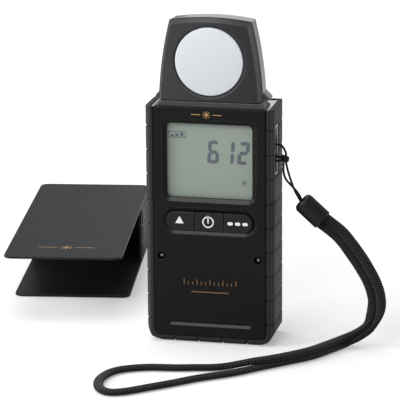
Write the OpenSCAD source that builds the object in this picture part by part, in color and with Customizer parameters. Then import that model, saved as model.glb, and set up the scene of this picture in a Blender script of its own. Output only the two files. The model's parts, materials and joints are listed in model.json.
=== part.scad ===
// Handheld light meter standing on its foot, with a swivelling sensor head,
// a wrist strap and its slide-on cover lying beside it.
// Millimetres. +Z is up, the display faces -Y, the origin is under the middle of the foot.

/* [Body] */
// Width over the bumper
body_w = 60; // [57:0.5:68]
// Depth from the face plate to the back plate
body_d = 27; // [26.5:0.5:32]
// Height of the body up to the top edge of the face plate
body_h = 112; // [110:1:124]
// Thickness of the face plate and of the back plate
plate_t = 2.2; // [2:0.1:2.6]
// Thickness of the shoulder that the bumper hooks over
shoulder_t = 0.8; // [0.6:0.1:1]
// Wall of the two case halves
case_wall = 1.6; // [1.2:0.1:2]
// Radius of the lower corners of the face plate
face_r = 3; // [2:0.1:3.5]
// Thickness of the top deck
deck_t = 1.8; // [1.4:0.1:2.2]
// Drop of the deck below the top edge of the face plate
deck_drop = 0.4; // [0.2:0.1:0.8]
// Open seam between the two case halves
seam = 0.1; // [0.05:0.05:0.2]
// Clearance round pieces that are seated in one another
fit = 0.1; // [0.05:0.05:0.15]

/* [Bumper] */
// Rim of the bumper seen beside the face plate
rim_w = 3.6; // [3.2:0.1:4.4]
// Rim of the bumper seen below the face plate
foot_rim = 3.2; // [3:0.1:4.2]
// Thickness of the bumper at the sides and under the foot
bumper_t = 2.6; // [2.2:0.1:2.8]
// Step from the face plate back to the rim
rim_drop = 0.3; // [0.1:0.1:0.5]
// Outer radius of the lower corners
corner_r = 8; // [6:0.5:9]
// Bevel along the front edge
rim_bevel = 2.1; // [1.4:0.1:2.6]
// Width of the bevel along the back edge
back_bevel_w = 0.9; // [0.6:0.1:2.4]
// Depth of the bevel along the back edge
back_bevel_d = 9; // [3:0.5:10]
// Distance of the first grip groove below the top edge
groove_first = 9.4; // [6:0.2:14]
// Distance between two grip grooves
groove_pitch = 11.5; // [8:0.1:14]
// Width of a grip groove
groove_w = 0.7; // [0.5:0.1:1.4]
// Depth of a grip groove
groove_depth = 0.4; // [0.3:0.1:0.7]

/* [Display] */
// Width of the display window
window_w = 40; // [36:0.5:42]
// Height of the display window
window_h = 34.8; // [32:0.2:36]
// Distance of the window below the top edge of the face plate
window_drop = 7.6; // [7:0.2:9]
// Corner radius of the window
window_r = 2.2; // [1:0.1:3]
// Width of the sloping frame round the window
bezel_w = 2; // [1:0.1:2.4]
// Depth of the sloping frame
bezel_depth = 1; // [0.5:0.1:1.2]
// Thickness of the clear window
window_t = 1.2; // [1:0.1:1.4]
// Thickness of the display glass
lcd_t = 1.8; // [1.4:0.1:2]
// Border of the window and the display behind the face plate
lcd_border = 1.4; // [1:0.1:1.8]
// Space between the display and the main board
lcd_lift = 3.3; // [3.2:0.1:3.8]
// Wall of the display frame
lcd_frame_wall = 1.4; // [1:0.1:1.8]
// Width of a contact strip between display and board
strip_w = 2.4; // [1.8:0.1:3]

/* [Keys] */
// Width of the row of three keys
keys_w = 41; // [38:0.5:43]
// Height of the keys
keys_h = 9.2; // [8:0.2:10.4]
// Distance of the keys' middle below the top edge of the face plate
keys_drop = 53.4; // [52:0.2:56]
// Half the width of the middle key
key_split = 6.8; // [6:0.1:8]
// Clearance round each key
key_gap = 0.25; // [0.2:0.05:0.35]
// How far the keys stand out of the face plate
key_proud = 0.3; // [0.1:0.1:0.6]
// Travel of a key
key_travel = 0.6; // [0.4:0.1:0.7]
// Lip that holds a key behind the face plate
key_lip = 0.9; // [0.6:0.1:1.2]
// Diameter of a key's plunger
plunger_d = 4; // [3:0.2:6]
// Width of the sloping dish round the keys
keys_dish = 1.8; // [1.2:0.1:2.2]
// Depth of the dish
dish_depth = 0.8; // [0.4:0.1:1]

/* [Boards] */
// Thickness of the main board
board_t = 1.6; // [1.2:0.2:1.6]
// Distance of the main board's top below the top edge of the face plate
board_drop = 10.8; // [10.4:0.2:14]
// Distance of the main board's lower edge above the foot
board_rise = 10; // [8:1:20]
// Clearance of the main board beside the screw bosses and over the battery bay
board_play = 0.3; // [0.2:0.05:0.5]
// Height of the parts on the main board
part_h = 1; // [0.6:0.1:1]
// Thickness of the key mat
mat_t = 1; // [0.6:0.1:1.2]
// Height of the pads on the key mat
pad_h = 0.95; // [0.6:0.05:1]
// Height of the switch domes
dome_t = 0.35; // [0.2:0.05:0.4]
// Rim of a switch dome round the key's plunger
dome_rim = 1; // [0.5:0.1:1.5]
// Rim of a pad on the key mat round the key's plunger
pad_rim = 0.5; // [0.3:0.1:0.8]

/* [Screws] */
// Distance of the case screws from the sides of the face plate
screw_inset = 3.7; // [3.5:0.1:4]
// Distance of the case screws below the top edge of the face plate
screw_drop = 70.6; // [68:0.2:74]
// Thread diameter of the case screws
screw_d = 2; // [1.6:0.1:2.2]
// Head diameter of the case screws
screw_head_d = 3.3; // [3:0.1:3.6]
// Height of the screw heads
screw_head_h = 1.1; // [0.8:0.1:1.2]
// Depth of a screw head below the surface
screw_sink = 0.9; // [0.1:0.1:1]
// Outer diameter of the screw bosses
boss_d = 5.2; // [4.6:0.1:5.4]
// Length of the screw thread in the back half
screw_bite = 8; // [5:0.5:9]

/* [Trim] */
// Width of the groove near the foot of the face plate
line_w = 39.6; // [30:0.2:44]
// Height of the groove
line_h = 2.8; // [2.7:0.1:4]
// Height of the groove's middle above the foot
line_rise = 9.6; // [8:0.1:12]
// Depth of the groove
line_depth = 0.8; // [0.4:0.1:1]
// Width of the groove's sloping sides
line_slope = 1.2; // [0.6:0.1:1.3]
// Corner radius of the groove's floor
line_r = 0.15; // [0.05:0.05:0.2]

/* [Battery] */
// Diameter of a cell
cell_d = 10.5; // [10:0.1:10.5]
// Length of a cell with its nub
cell_l = 44.5; // [43.5:0.1:44.5]
// Diameter of the cell's nub
nub_d = 3.8; // [3:0.1:4.4]
// Height of the cell's nub
nub_h = 1; // [0.8:0.1:1.4]
// Space round the cells
cell_gap = 0.4; // [0.3:0.1:0.6]
// Length of a contact spring
spring_l = 2.2; // [1.6:0.1:3]
// Outer diameter of a contact spring
spring_d = 6; // [5:0.2:7]
// Wire of a contact spring
spring_wire = 0.5; // [0.4:0.1:0.8]
// Thickness of a contact plate
contact_t = 0.4; // [0.3:0.1:0.6]
// Margin of a contact plate inside the cell's outline
contact_margin = 1; // [0.5:0.1:2]
// Wall of the battery bay
bay_wall = 1.2; // [1:0.1:1.4]
// Distance of the battery bay above the foot
bay_rise = 13; // [11:0.5:16]
// Ledge of the bay's wall that carries the battery cover
cover_ledge = 0.7; // [0.5:0.1:0.8]
// Clearance round the battery cover
cover_gap = 0.3; // [0.25:0.05:0.4]
// Width of a finger groove on the battery cover
ridge_h = 1.2; // [0.8:0.1:1.6]
// Depth of a finger groove
ridge_depth = 0.6; // [0.4:0.1:0.8]
// Number of finger grooves
ridge_count = 4; // [2:1:6]

/* [Sensor head] */
// Width of the head at its base
head_w = 48.4; // [46.4:0.2:49]
// Width of the head at its top corners
head_top_w = 38; // [36.6:0.2:42]
// Height of the head
head_h = 38.1; // [37.6:0.1:42]
// Depth of the head
head_d = 15; // [14.6:0.1:17]
// Setback of the head's panel behind the face plate
head_setback = 1.5; // [1.2:0.1:3]
// Rise of the curved top above its corners
head_crown = 1.6; // [1:0.1:2.4]
// Swell of the curved sides
head_swell = 1; // [0.5:0.1:1.4]
// Wall of the head
head_wall = 1.8; // [1.4:0.1:2]
// Depth of the front part of the head
panel_d = 4; // [3.8:0.1:4.4]
// Inward slope of the rear part
rear_inset = 0.5; // [0.2:0.1:0.6]
// Inward slope of the front part
panel_inset = 1.6; // [1:0.1:1.8]
// Thickness of the panel round the diffuser
panel_t = 2; // [1.8:0.1:2.2]
// Outward flare at the foot of the head
flare = 2.4; // [1.5:0.1:3]
// Depth of the flare
flare_d = 8; // [6:0.5:9]
// Height of the flare's upright edge
flare_edge = 0.6; // [0.3:0.1:1]

/* [Sensor] */
// Diameter of the white diffuser
diffuser_d = 31.4; // [29:0.2:31.6]
// Height of the diffuser's middle above the base of the head
diffuser_rise = 18.3; // [18:0.1:18.8]
// How far the diffuser stands out of the panel
diffuser_proud = 0.2; // [0:0.1:0.6]
// Width of the diffuser's flange behind the panel
flange_w = 0.6; // [0.5:0.1:0.8]
// Thickness of the diffuser's flange
flange_t = 1.2; // [0.8:0.1:1.2]
// Thickness of the diffuser's seal
seal_t = 0.4; // [0.3:0.1:0.5]
// Width of the sloping seat round the diffuser
step_w = 1.4; // [0.8:0.1:1.6]
// Depth of the seat
step_depth = 0.8; // [0.3:0.1:1]
// Outer diameter of the light tube behind the diffuser
tube_d = 27.4; // [24:0.2:28]
// Wall of the light tube
tube_wall = 1.5; // [1:0.1:2]
// Diameter of the colour filter
filter_d = 10; // [8:0.5:14]
// Thickness of the colour filter
filter_t = 1.8; // [1:0.1:2]
// Diameter of the photodiode
diode_d = 8.2; // [7:0.2:9]
// Height of the photodiode
diode_h = 2.4; // [1.6:0.1:2.4]
// Width of the sensor board
sensor_w = 26; // [24:0.5:26]
// Height of the sensor board
sensor_h = 25; // [24:0.5:25]
// Thickness of the sensor board
sensor_t = 1.2; // [0.8:0.1:1.4]
// Rise of the sensor board's middle above the diffuser's middle
sensor_up = 0.5; // [0:0.1:1]
// Length of the posts under the sensor board
post_l = 2; // [1.6:0.1:2.4]
// Diameter of the posts under the sensor board
post_d = 3.4; // [2.6:0.2:4]

/* [Head screws] */
// Thread diameter of the head screws
hscrew_d = 1.8; // [1.4:0.1:2]
// Head diameter of the head screws
hscrew_head_d = 3.2; // [2.8:0.1:3.4]
// Height of the screw heads
hscrew_head_h = 1; // [0.6:0.1:1]
// Outer diameter of the screw posts in the head
hboss_d = 4.2; // [4:0.1:4.4]
// Distance of the screws from the sides of the head
hscrew_inset = 4.6; // [4.4:0.1:5]
// Height of the lower screws above the base of the head
hscrew_low = 5.2; // [4.8:0.1:5.6]
// Distance of the upper screws below the top corners of the head
hscrew_top = 4.5; // [4.4:0.1:4.6]

/* [Swivel] */
// Height of the collar under the head
collar_h = 3.1; // [2.6:0.1:4]
// Distance of the collar's foot from the sides of the head
collar_out = 1.5; // [0.6:0.1:2.4]
// Draw-in of the collar's sides towards the top
collar_taper = 1.9; // [0.5:0.1:2.5]
// Draw-in of the collar's front and back
collar_lean = 0.6; // [0.2:0.1:1]
// Depth of the collar
collar_d = 13.6; // [12:0.2:13.8]
// Corner radius of the collar
collar_r = 1; // [0.5:0.1:2]
// Gap between collar and head
head_gap = 0.3; // [0.2:0.05:0.4]
// Diameter of the hollow spindle
spindle_d = 6; // [5:0.2:6.4]
// Bore of the spindle for the cable
spindle_bore = 3; // [2.4:0.1:3.4]
// Running clearance of the spindle
spindle_play = 0.08; // [0.05:0.01:0.1]
// Width of the spindle's foot inside the head
foot_w = 18; // [14:0.5:22]
// Thickness of the spindle's foot
foot_t = 1.8; // [1.4:0.1:1.9]
// Outer diameter of the friction washer
washer_d = 9; // [8.4:0.2:10]
// Thickness of the friction washer
washer_t = 0.8; // [0.5:0.1:0.8]
// Outer diameter of the retaining ring
ring_d = 8.4; // [8:0.2:9]
// Thickness of the retaining ring
ring_t = 0.8; // [0.5:0.1:0.9]
// Depth of the ring's groove in the spindle
ring_groove = 0.5; // [0.3:0.1:0.6]
// Gap between ring and washer
ring_gap = 0.15; // [0.1:0.05:0.2]
// Length of the spindle below the ring
spindle_tail = 1.2; // [0.8:0.1:1.4]
// Diameter of the sensor cable
cable_d = 1.6; // [1.2:0.1:2]

/* [Strap eye] */
// Height of the strap eye
eye_h = 23; // [20:0.5:26]
// Width of the strap eye
eye_w = 7.8; // [7:0.1:8.4]
// Depth of the strap eye
eye_depth = 3.2; // [3:0.1:3.4]
// Wall of the eye's lining
eye_wall = 0.8; // [0.6:0.1:1]
// Distance of the eye's middle below the top edge of the face plate
eye_drop = 20; // [18:0.5:24]
// Distance of the eye's edge in front of the seam
eye_set = 0.4; // [0.3:0.1:0.6]
// Drop of the lining below the bumper's surface
eye_sink = 0.4; // [0.2:0.1:0.6]
// Diameter of the strap bar
bar_d = 1.4; // [1:0.1:1.5]
// Distance of the strap bar from the floor of the eye
bar_lift = 2.2; // [2:0.1:2.3]
// Distance of the strap bar below the middle of the eye
bar_low = 1; // [0:0.5:3]

/* [Strap] */
// Diameter of the thin cord
cord_d = 1.1; // [0.8:0.1:1.1]
// Width of the braided band
band_w = 4.1; // [3.4:0.1:4.1]
// Thickness of the braided band
band_t = 2.8; // [2.2:0.1:2.8]
// Length of the ferrule
ferrule_l = 13.6; // [12:0.2:16]
// Diameter of the ferrule
ferrule_d = 9.7; // [9.2:0.1:10]
// Diameter of the ferrule's end face at the band
ferrule_end_d = 8.6; // [8.6:0.1:9]
// Diameter of the ferrule's end face at the cord
ferrule_mouth_d = 5; // [5:0.1:6]
// Tilt of the ferrule from straight up
ferrule_tilt = 132; // [128:1:138]

/* [Cover] */
// Width of the slide-on cover
cap_w = 57; // [56:0.5:66]
// Length of the cover
cap_l = 137; // [120:1:145]
// Wall of the cover
cap_wall = 1.3; // [1:0.1:1.8]
// Room between the cover's plates and the body
cap_room = 0.3; // [0.2:0.05:0.5]
// Length by which the lower plate is shorter than the upper one
cap_short = 33; // [10:1:50]
// Length of the closed end
cap_end_l = 43; // [40:0.5:50]
// Radius of the plates' open corners
cap_r = 4; // [2:0.5:8]
// Distance of the cover's middle to the left of the meter
cap_left = 87; // [80:1:110]
// Distance of the cover's middle behind the meter
cap_behind = 80; // [60:1:110]
// Turn of the cover on the table
cap_turn = 8; // [0:1:12]
// Blocks along each grip side
grip_count = 3; // [2:1:4]
// Gap between two grip blocks
grip_gap = 1.2; // [0.8:0.1:2]
// Height of a grip block
grip_h = 0.5; // [0.3:0.1:0.8]
// Plain border round the grip blocks
grip_border = 3; // [2:0.5:5]

/* [Hidden] */
$fn = 64;
// Fineness of the large arcs of the head
arc_fn = 240;
// Fineness of the corners inside a hull
hull_fn = 32;
// Thickness of the slices that a hull spans
slice = 0.01;
// Length by which cuts run past the faces they open
over = 1;

// Levels through the depth of the body
y_front = -body_d / 2;
y_back = body_d / 2;
y_plate = y_front + plate_t;
y_shoulder = y_plate - shoulder_t;
y_window = y_plate + window_t;
y_lcd = y_window + lcd_t;
y_board = y_lcd + lcd_lift;
y_board_back = y_board + board_t;
y_mat = y_board - dome_t - mat_t;
y_pad = y_mat - pad_h;
y_lip = y_plate + key_gap;
key_stop = 0.1;
y_plunger = y_pad - key_travel - key_stop;

// Widths and heights of the case
face_w = body_w - 2 * rim_w;
case_w = body_w - 2 * bumper_t;
case_r = corner_r - bumper_t;
least_r = 0.4;
case_inner_r = max(case_r - case_wall, least_r);
deck_top = body_h - deck_drop;
deck_under = deck_top - deck_t;
window_z = body_h - window_drop - window_h / 2;
keys_z = body_h - keys_drop;
lcd_w = window_w + 2 * lcd_border;
lcd_h = window_h + 2 * lcd_border;
board_top = body_h - board_drop;
lcd_low = window_z - lcd_h / 2;
lcd_frame_h = board_top - lcd_low;
key_edges = [-keys_w / 2, -key_split, key_split, keys_w / 2];
key_middles = [for (i = [0 : 2]) (key_edges[i] + key_edges[i + 1]) / 2];

// Chips and a socket on the main board: left edge, drop of the lower edge below the board's top,
// width and height
chips = [[-7, 27.2, 14, 14], [-16, 21.2, 6, 4], [9, 19.2, 5, 8], [-12, 7.2, 24, 4], [10, 31.2, 6, 3]];

// Screws of the case
screw_x = face_w / 2 - screw_inset;
screw_z = body_h - screw_drop;
screw_play = 0.15;
screw_floor = y_front + screw_sink + screw_head_h;
board_w = 2 * (screw_x - boss_d / 2 - board_play);

// Battery bay
cell_y = y_back - plate_t - cell_gap - cell_d / 2;
bay_w = 2 * cell_d + 3 * cell_gap;
bay_h = cell_l + spring_l + 2 * contact_t;
bay_floor = cell_y - cell_d / 2 - cell_gap / 2;
bay_z = bay_rise + bay_wall;
cell_x = (cell_d + cell_gap) / 2;
cover_seat = y_back - plate_t;

// Sensor head
collar_top = deck_top + collar_h;
head_z = collar_top + head_gap;
head_top = head_z + head_h;
head_y = y_front + head_setback;
head_back = head_y + head_d;
head_split = head_y + panel_d;
swivel_y = head_y + head_d / 2;
diffuser_z = head_z + diffuser_rise;
y_seal = head_y + panel_t;
y_flange = y_seal + seal_t;
y_tube = y_flange + flange_t;
y_sensor = head_back - head_wall - post_l - sensor_t;
y_diode = y_sensor - diode_h;
flange_r = diffuser_d / 2 + flange_w;
diffuser_play = 0.2;
ring_z = deck_under - washer_t - ring_gap - ring_t;
spindle_end = ring_z - spindle_tail;
head_screw_spots = [for (s = [-1, 1]) each [
    [s * (head_w / 2 - hscrew_inset), head_z + hscrew_low],
    [s * (head_top_w / 2 - hscrew_inset + head_swell), head_top - head_crown - hscrew_top]]];
sensor_z = diffuser_z + sensor_up;
sensor_post_inset = 3;
post_root = 0.5;
cable_gap = 0.4;

// Strap eye
eye_z = body_h - eye_drop;
eye_y = -seam / 2 - eye_set - eye_w / 2;
eye_face = body_w / 2 - eye_sink;
eye_floor = eye_face - eye_depth;
bar_x = eye_floor + bar_lift;
bar_z = eye_z - bar_low;
bar_fit = 0.02;

// Strap: the ferrule hangs off the thin cord beside the body
ferrule_top = [41.1, -4.3, 68.7];
ferrule_dir = [sin(ferrule_tilt), 0, cos(ferrule_tilt)];
ferrule_up = [-cos(ferrule_tilt), 0, sin(ferrule_tilt)];
ferrule_bottom = ferrule_top + ferrule_l * ferrule_dir;
cord_apart = 0.6 * ferrule_up - [0, 0.6, 0];
band_apart = 2.15 * ferrule_up - [0, 0.6, 0];
// Heights between which the band turns from facing the front to lying flat
band_turn_z = 22;
band_lie_z = 9;

// Route of the thin cord, from the ferrule round the strap bar and back
cord_route = [
    ferrule_top + cord_apart,
    [40, -4.9, 71.9], [38, -4.9, 74.3], [35.9, -4.9, 76.4], [34.1, -4.9, 78.6], [33.2, -4.9, 81.2],
    [33, -4.9, 84], [33.2, -4.9, 86.6], [34.2, -4.9, 89.4], [33.9, -4.9, 91.5], [32.4, -4.9, 93.9],
    [30, -4.9, 94.7], [28.4, -4.8, 94], [27.2, -4.6, 92.8], [27.05, -4.3, 91], [27.3, -4, 89.4],
    [28.6, -3.8, 88.6], [29.9, -3.7, 88.5], [32, -3.7, 88.4], [33.7, -3.7, 87.4], [34.2, -3.7, 85],
    [34.8, -3.7, 82.4], [35.8, -3.7, 79.1], [37, -3.7, 75.6], [37.9, -3.7, 73.4], [39.1, -3.7, 71],
    ferrule_top - cord_apart];

// Route of the braided band, a loop out of the ferrule, down to the table and back on top of itself
band_route = [
    ferrule_bottom + band_apart,
    [56.6, -4.9, 58.3], [60.55, -4.9, 55.2], [64, -4.9, 51.3], [67.2, -4.9, 47.1], [70.6, -4.9, 42.3],
    [73.6, -4.9, 37.3], [75.6, -4.9, 33.6], [77.2, -4.9, 29.9], [78.3, -4.9, 26], [78.8, -4.9, 21.6],
    [78.4, -4.9, 18], [77.4, -4.9, 14.9], [75.6, -4.9, 11.2], [73.25, -4.9, 8.05], [68.35, -5, 4.4],
    [61.7, -7, 1.45], [56.6, -16, 1.4],
    [50.3, -26.3, 1.4], [41.8, -34.9, 1.4], [30.2, -46, 1.4], [19.7, -56.3, 1.4], [6.2, -66.2, 1.4],
    [-3.1, -74.7, 1.4], [-11.9, -82.1, 1.4], [-22.1, -90.4, 1.4], [-29.2, -92, 1.4], [-34.4, -86, 1.4],
    [-36.3, -75, 1.4], [-32.4, -63.4, 1.4], [-21.2, -56.6, 1.4], [-6.5, -54.2, 1.4], [1.2, -52.4, 1.4],
    [9.2, -50.6, 1.4], [14.7, -48.6, 1.6], [21.3, -47.5, 2.9], [27, -46.4, 4.1], [34, -41.9, 4.3],
    [41.8, -34.9, 4.3], [50, -25.9, 4.3], [56.3, -15.6, 4.3], [61.4, -7.3, 4.55], [66.9, -5, 6.95],
    [71.15, -4.9, 10.15], [72.95, -4.6, 12.9], [73.85, -4, 16.3], [74.6, -3.7, 21.8], [74.1, -3.7, 25.2],
    [73.1, -3.7, 28.7], [71.8, -3.7, 31.8], [69.9, -3.7, 35.2], [67, -3.7, 39.9], [63.7, -3.7, 44.5],
    [60.8, -3.7, 48.5], [57.55, -3.7, 52.1], [53.8, -3.7, 55.1],
    ferrule_bottom - band_apart];

// Cover lying on the table
cap_spot = [-cap_left, cap_behind, 0];
cap_h = body_d + 2 * cap_room + 2 * cap_wall;

// Sweeping a cord: rings across the route, square to it
cord_sides = 8;
function unit(v) = v / norm(v);
function heading(route, i) = unit(route[min(i + 1, len(route) - 1)] - route[max(i - 1, 0)]);
function headings(route, first, last) = [for (i = [0 : len(route) - 1])
    i == 0 ? first : i == len(route) - 1 ? last : heading(route, i)];
function side_of(t) = unit(cross(t, abs(t[1]) < 0.95 ? [0, 1, 0] : [1, 0, 0]));
// The side vector of the cord is carried along the route, so that the tube does not twist
function carried(side, t) = unit(side - (side * t) * t);
function sides_along(tangents, i = 0, found = []) =
    i == len(tangents) ? found
    : sides_along(tangents, i + 1,
        concat(found, [i == 0 ? side_of(tangents[0]) : carried(found[i - 1], tangents[i])]));
// The broad side of the band faces the front where it hangs and up where it lies
function lying(z) = min(max((band_turn_z - z) / (band_turn_z - band_lie_z), 0), 1);
function broad(t, z) = unit((1 - lying(z)) * cross(t, [0, 1, 0])
    + lying(z) * unit(cross([0, 0, 1], t)));

module tube_along(route, tangents, sides, wide, thick) {
    count = len(route);
    step = 360 / cord_sides;
    points = [for (i = [0 : count - 1], k = [0 : cord_sides - 1])
        route[i] + wide / 2 * cos(k * step) * sides[i]
            + thick / 2 * sin(k * step) * cross(tangents[i], sides[i])];
    walls = [for (i = [0 : count - 2], k = [0 : cord_sides - 1])
        let (a = i * cord_sides + k, b = i * cord_sides + (k + 1) % cord_sides)
        each [[a, a + cord_sides, b], [b, a + cord_sides, b + cord_sides]]];
    ends = [for (k = [1 : cord_sides - 2]) each [
        [0, k, k + 1],
        let (n = (count - 1) * cord_sides) [n, n + k + 1, n + k]]];
    polyhedron(points, concat(walls, ends));
}

// Extruding an outline along one axis
module along_y(y0, y1) {
    translate([0, y1, 0])
        rotate([90, 0, 0])
            linear_extrude(y1 - y0)
                children();
}

module along_x(x0, x1) {
    translate([x0, 0, 0])
        rotate([90, 0, 90])
            linear_extrude(x1 - x0)
                children();
}

module along_z(z0, z1) {
    translate([0, 0, z0])
        linear_extrude(z1 - z0)
            children();
}

module rod(x, z, d, y0, y1) {
    along_y(y0, y1)
        translate([x, z])
            circle(d = d);
}

// Outlines
module rounded(w, h, r) {
    square([w - 2 * r, h], center = true);
    square([w, h - 2 * r], center = true);
    for (sx = [-1, 1], sy = [-1, 1])
        translate([sx * (w / 2 - r), sy * (h / 2 - r)])
            circle(r);
}

module stadium(w, h) {
    square([w - h, h], center = true);
    for (s = [-1, 1])
        translate([s * (w - h) / 2, 0])
            circle(d = h);
}

// Upright rectangle with two round lower corners
module u_outline(w, z0, z1, r) {
    translate([-w / 2, z0 + r])
        square([w, z1 - z0 - r]);
    translate([-w / 2 + r, z0])
        square([w - 2 * r, 2 * r]);
    for (s = [-1, 1])
        translate([s * (w / 2 - r), z0 + r])
            circle(r);
}

// Funnel with round corners, wide at the front
module funnel(w, h, r, slope, z, y0, y1) {
    hull() {
        along_y(y0 - slice, y0)
            translate([0, z])
                rounded(w + 2 * slope, h + 2 * slope, r + slope, $fn = hull_fn);
        along_y(y1 - slice, y1)
            translate([0, z])
                rounded(w, h, r, $fn = hull_fn);
    }
}

// One half of the case: plate, shoulder and walls
module case_half() {
    along_y(y_front, y_plate)
        u_outline(face_w, foot_rim, body_h, face_r);
    along_y(y_shoulder, y_plate)
        u_outline(case_w, bumper_t, deck_top, case_r);
    along_y(y_plate, -seam / 2)
        difference() {
            u_outline(case_w, bumper_t, deck_under, case_r);
            u_outline(case_w - 2 * case_wall, bumper_t + case_wall, deck_under + over, case_inner_r);
        }
    for (s = [-1, 1])
        rod(s * screw_x, screw_z, boss_d, y_plate, -seam / 2);
}

module front_cover() {
    color([0.12, 0.12, 0.12])
        difference() {
            case_half();
            // display window with its sloping frame
            funnel(window_w, window_h, window_r, bezel_w, window_z, y_front, y_front + bezel_depth);
            along_y(y_front, y_plate + over)
                translate([0, window_z])
                    rounded(window_w, window_h, window_r);
            // opening and dish of the keys
            hull() {
                along_y(y_front - slice, y_front)
                    translate([0, keys_z])
                        stadium(keys_w + 2 * keys_dish, keys_h + 2 * keys_dish, $fn = hull_fn);
                along_y(y_front + dish_depth - slice, y_front + dish_depth)
                    translate([0, keys_z])
                        stadium(keys_w, keys_h, $fn = hull_fn);
            }
            along_y(y_front, y_plate + over)
                translate([0, keys_z])
                    stadium(keys_w, keys_h);
            // groove near the foot
            funnel(line_w - 2 * line_slope, line_h - 2 * line_slope, line_r, line_slope, line_rise,
                y_front, y_front + line_depth);
            for (s = [-1, 1]) {
                rod(s * screw_x, screw_z, screw_head_d + 2 * screw_play, y_front - over, screw_floor);
                rod(s * screw_x, screw_z, screw_d + 2 * screw_play, y_front, over);
            }
            eye_block(fit, over);
        }
}

// Rectangle round the battery bay, grown by a margin
module bay_outline(grow) {
    translate([0, bay_z + bay_h / 2])
        square([bay_w + 2 * grow, bay_h + 2 * grow], center = true);
}

module rear_cover() {
    color([0.2, 0.2, 0.2])
        difference() {
            union() {
                mirror([0, 1, 0])
                    case_half();
                along_y(bay_floor - bay_wall, y_back)
                    bay_outline(bay_wall);
            }
            along_y(bay_floor, y_back + over)
                bay_outline(0);
            along_y(cover_seat, y_back + over)
                bay_outline(cover_ledge);
            for (s = [-1, 1])
                rod(s * screw_x, screw_z, screw_d + 2 * bar_fit, 0, screw_bite);
        }
}

// Bumper: one block bounded from three sides, inset alike for the groove floors
module bumper_block(inset) {
    w = body_w / 2 - inset;
    front = y_front + rim_drop + inset;
    back = y_back - rim_drop - inset;
    intersection() {
        along_y(front, back)
            u_outline(2 * w, inset, body_h, corner_r - inset);
        along_z(0, body_h)
            polygon([for (s = [-1, 1]) each s > 0
                ? [[w - rim_bevel, front], [w, front + rim_bevel], [w, back - back_bevel_d],
                    [w - back_bevel_w, back]]
                : [[-w + back_bevel_w, back], [-w, back - back_bevel_d], [-w, front + rim_bevel],
                    [-w + rim_bevel, front]]]);
        along_x(-w, w)
            polygon([[front, inset + rim_bevel], [front + rim_bevel, inset], [back - rim_bevel, inset],
                [back, inset + rim_bevel], [back, body_h], [front, body_h]]);
    }
}

module groove_slabs() {
    rows = floor((body_h - groove_first - corner_r) / groove_pitch);
    pairs = floor((body_w / 2 - corner_r) / groove_pitch + 0.5);
    for (i = [0 : rows])
        translate([-body_w, -body_d, body_h - groove_first - i * groove_pitch - groove_w / 2])
            cube([2 * body_w, 2 * body_d, groove_w]);
    for (s = [-1, 1], i = [1 : pairs])
        translate([s * (i - 0.5) * groove_pitch - groove_w / 2, -body_d, -over])
            cube([groove_w, 2 * body_d, over + foot_rim + fit]);
}

module side_bumper() {
    color([0.25, 0.25, 0.25])
        difference() {
            bumper_block(0);
            difference() {
                groove_slabs();
                bumper_block(groove_depth);
            }
            along_y(y_shoulder - fit, -y_shoulder + fit)
                u_outline(case_w + 2 * fit, bumper_t - fit, body_h + over, case_r + fit);
            along_y(y_front - over, y_back + over)
                u_outline(face_w + 2 * fit, foot_rim - fit, body_h + over, face_r + fit);
            eye_block(fit, over);
        }
}

module top_deck() {
    color([0.75, 0.76, 0.77])
        difference() {
            translate([-case_w / 2, y_plate + fit, deck_under])
                cube([case_w, -2 * (y_plate + fit), deck_t]);
            spindle_hole();
        }
}

module display_window() {
    color([0.75, 0.85, 0.85, 0.35])
        along_y(y_plate, y_window)
            translate([0, window_z])
                square([lcd_w, lcd_h], center = true);
}

module lcd_panel() {
    color([0.56, 0.61, 0.55])
        along_y(y_window, y_lcd)
            translate([0, window_z])
                square([lcd_w, lcd_h], center = true);
}

// Frame between the display and the board, as high as the board reaches
module lcd_frame() {
    color("white")
        along_y(y_lcd, y_board)
            translate([0, lcd_low + lcd_frame_h / 2])
                difference() {
                    square([lcd_w, lcd_frame_h], center = true);
                    square([lcd_w - 2 * lcd_frame_wall, lcd_frame_h - 2 * lcd_frame_wall], center = true);
                }
}

module contact_strips() {
    strip_l = lcd_w - 2 * lcd_frame_wall - 2 * fit;
    color([0.85, 0.6, 0.55])
        for (s = [-1, 1])
            along_y(y_lcd, y_board)
                translate([0, lcd_low + lcd_frame_h / 2
                    + s * (lcd_frame_h / 2 - lcd_frame_wall - fit - strip_w / 2)])
                    square([strip_l, strip_w], center = true);
}

module main_board() {
    color([0.05, 0.35, 0.2])
        difference() {
            translate([-board_w / 2, y_board, board_rise])
                cube([board_w, board_t, board_top - board_rise]);
            along_y(bay_floor - bay_wall - board_play, y_back)
                bay_outline(bay_wall + board_play);
        }
}

module board_parts() {
    color([0.15, 0.15, 0.16])
        for (c = chips)
            translate([c[0], y_board_back, board_top - c[1]])
                cube([c[2], part_h, c[3]]);
}

module switch_domes() {
    dome_d = plunger_d + 2 * dome_rim;
    color("silver")
        for (x = key_middles)
            rod(x, keys_z, dome_d, y_board - dome_t, y_board);
}

module key_mat() {
    color([0.3, 0.3, 0.32]) {
        along_y(y_mat, y_mat + mat_t)
            translate([0, keys_z])
                square([board_w - 2 * fit, keys_h + 2 * key_lip], center = true);
        for (x = key_middles)
            rod(x, keys_z, plunger_d + 2 * pad_rim, y_pad, y_mat);
    }
}

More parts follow.
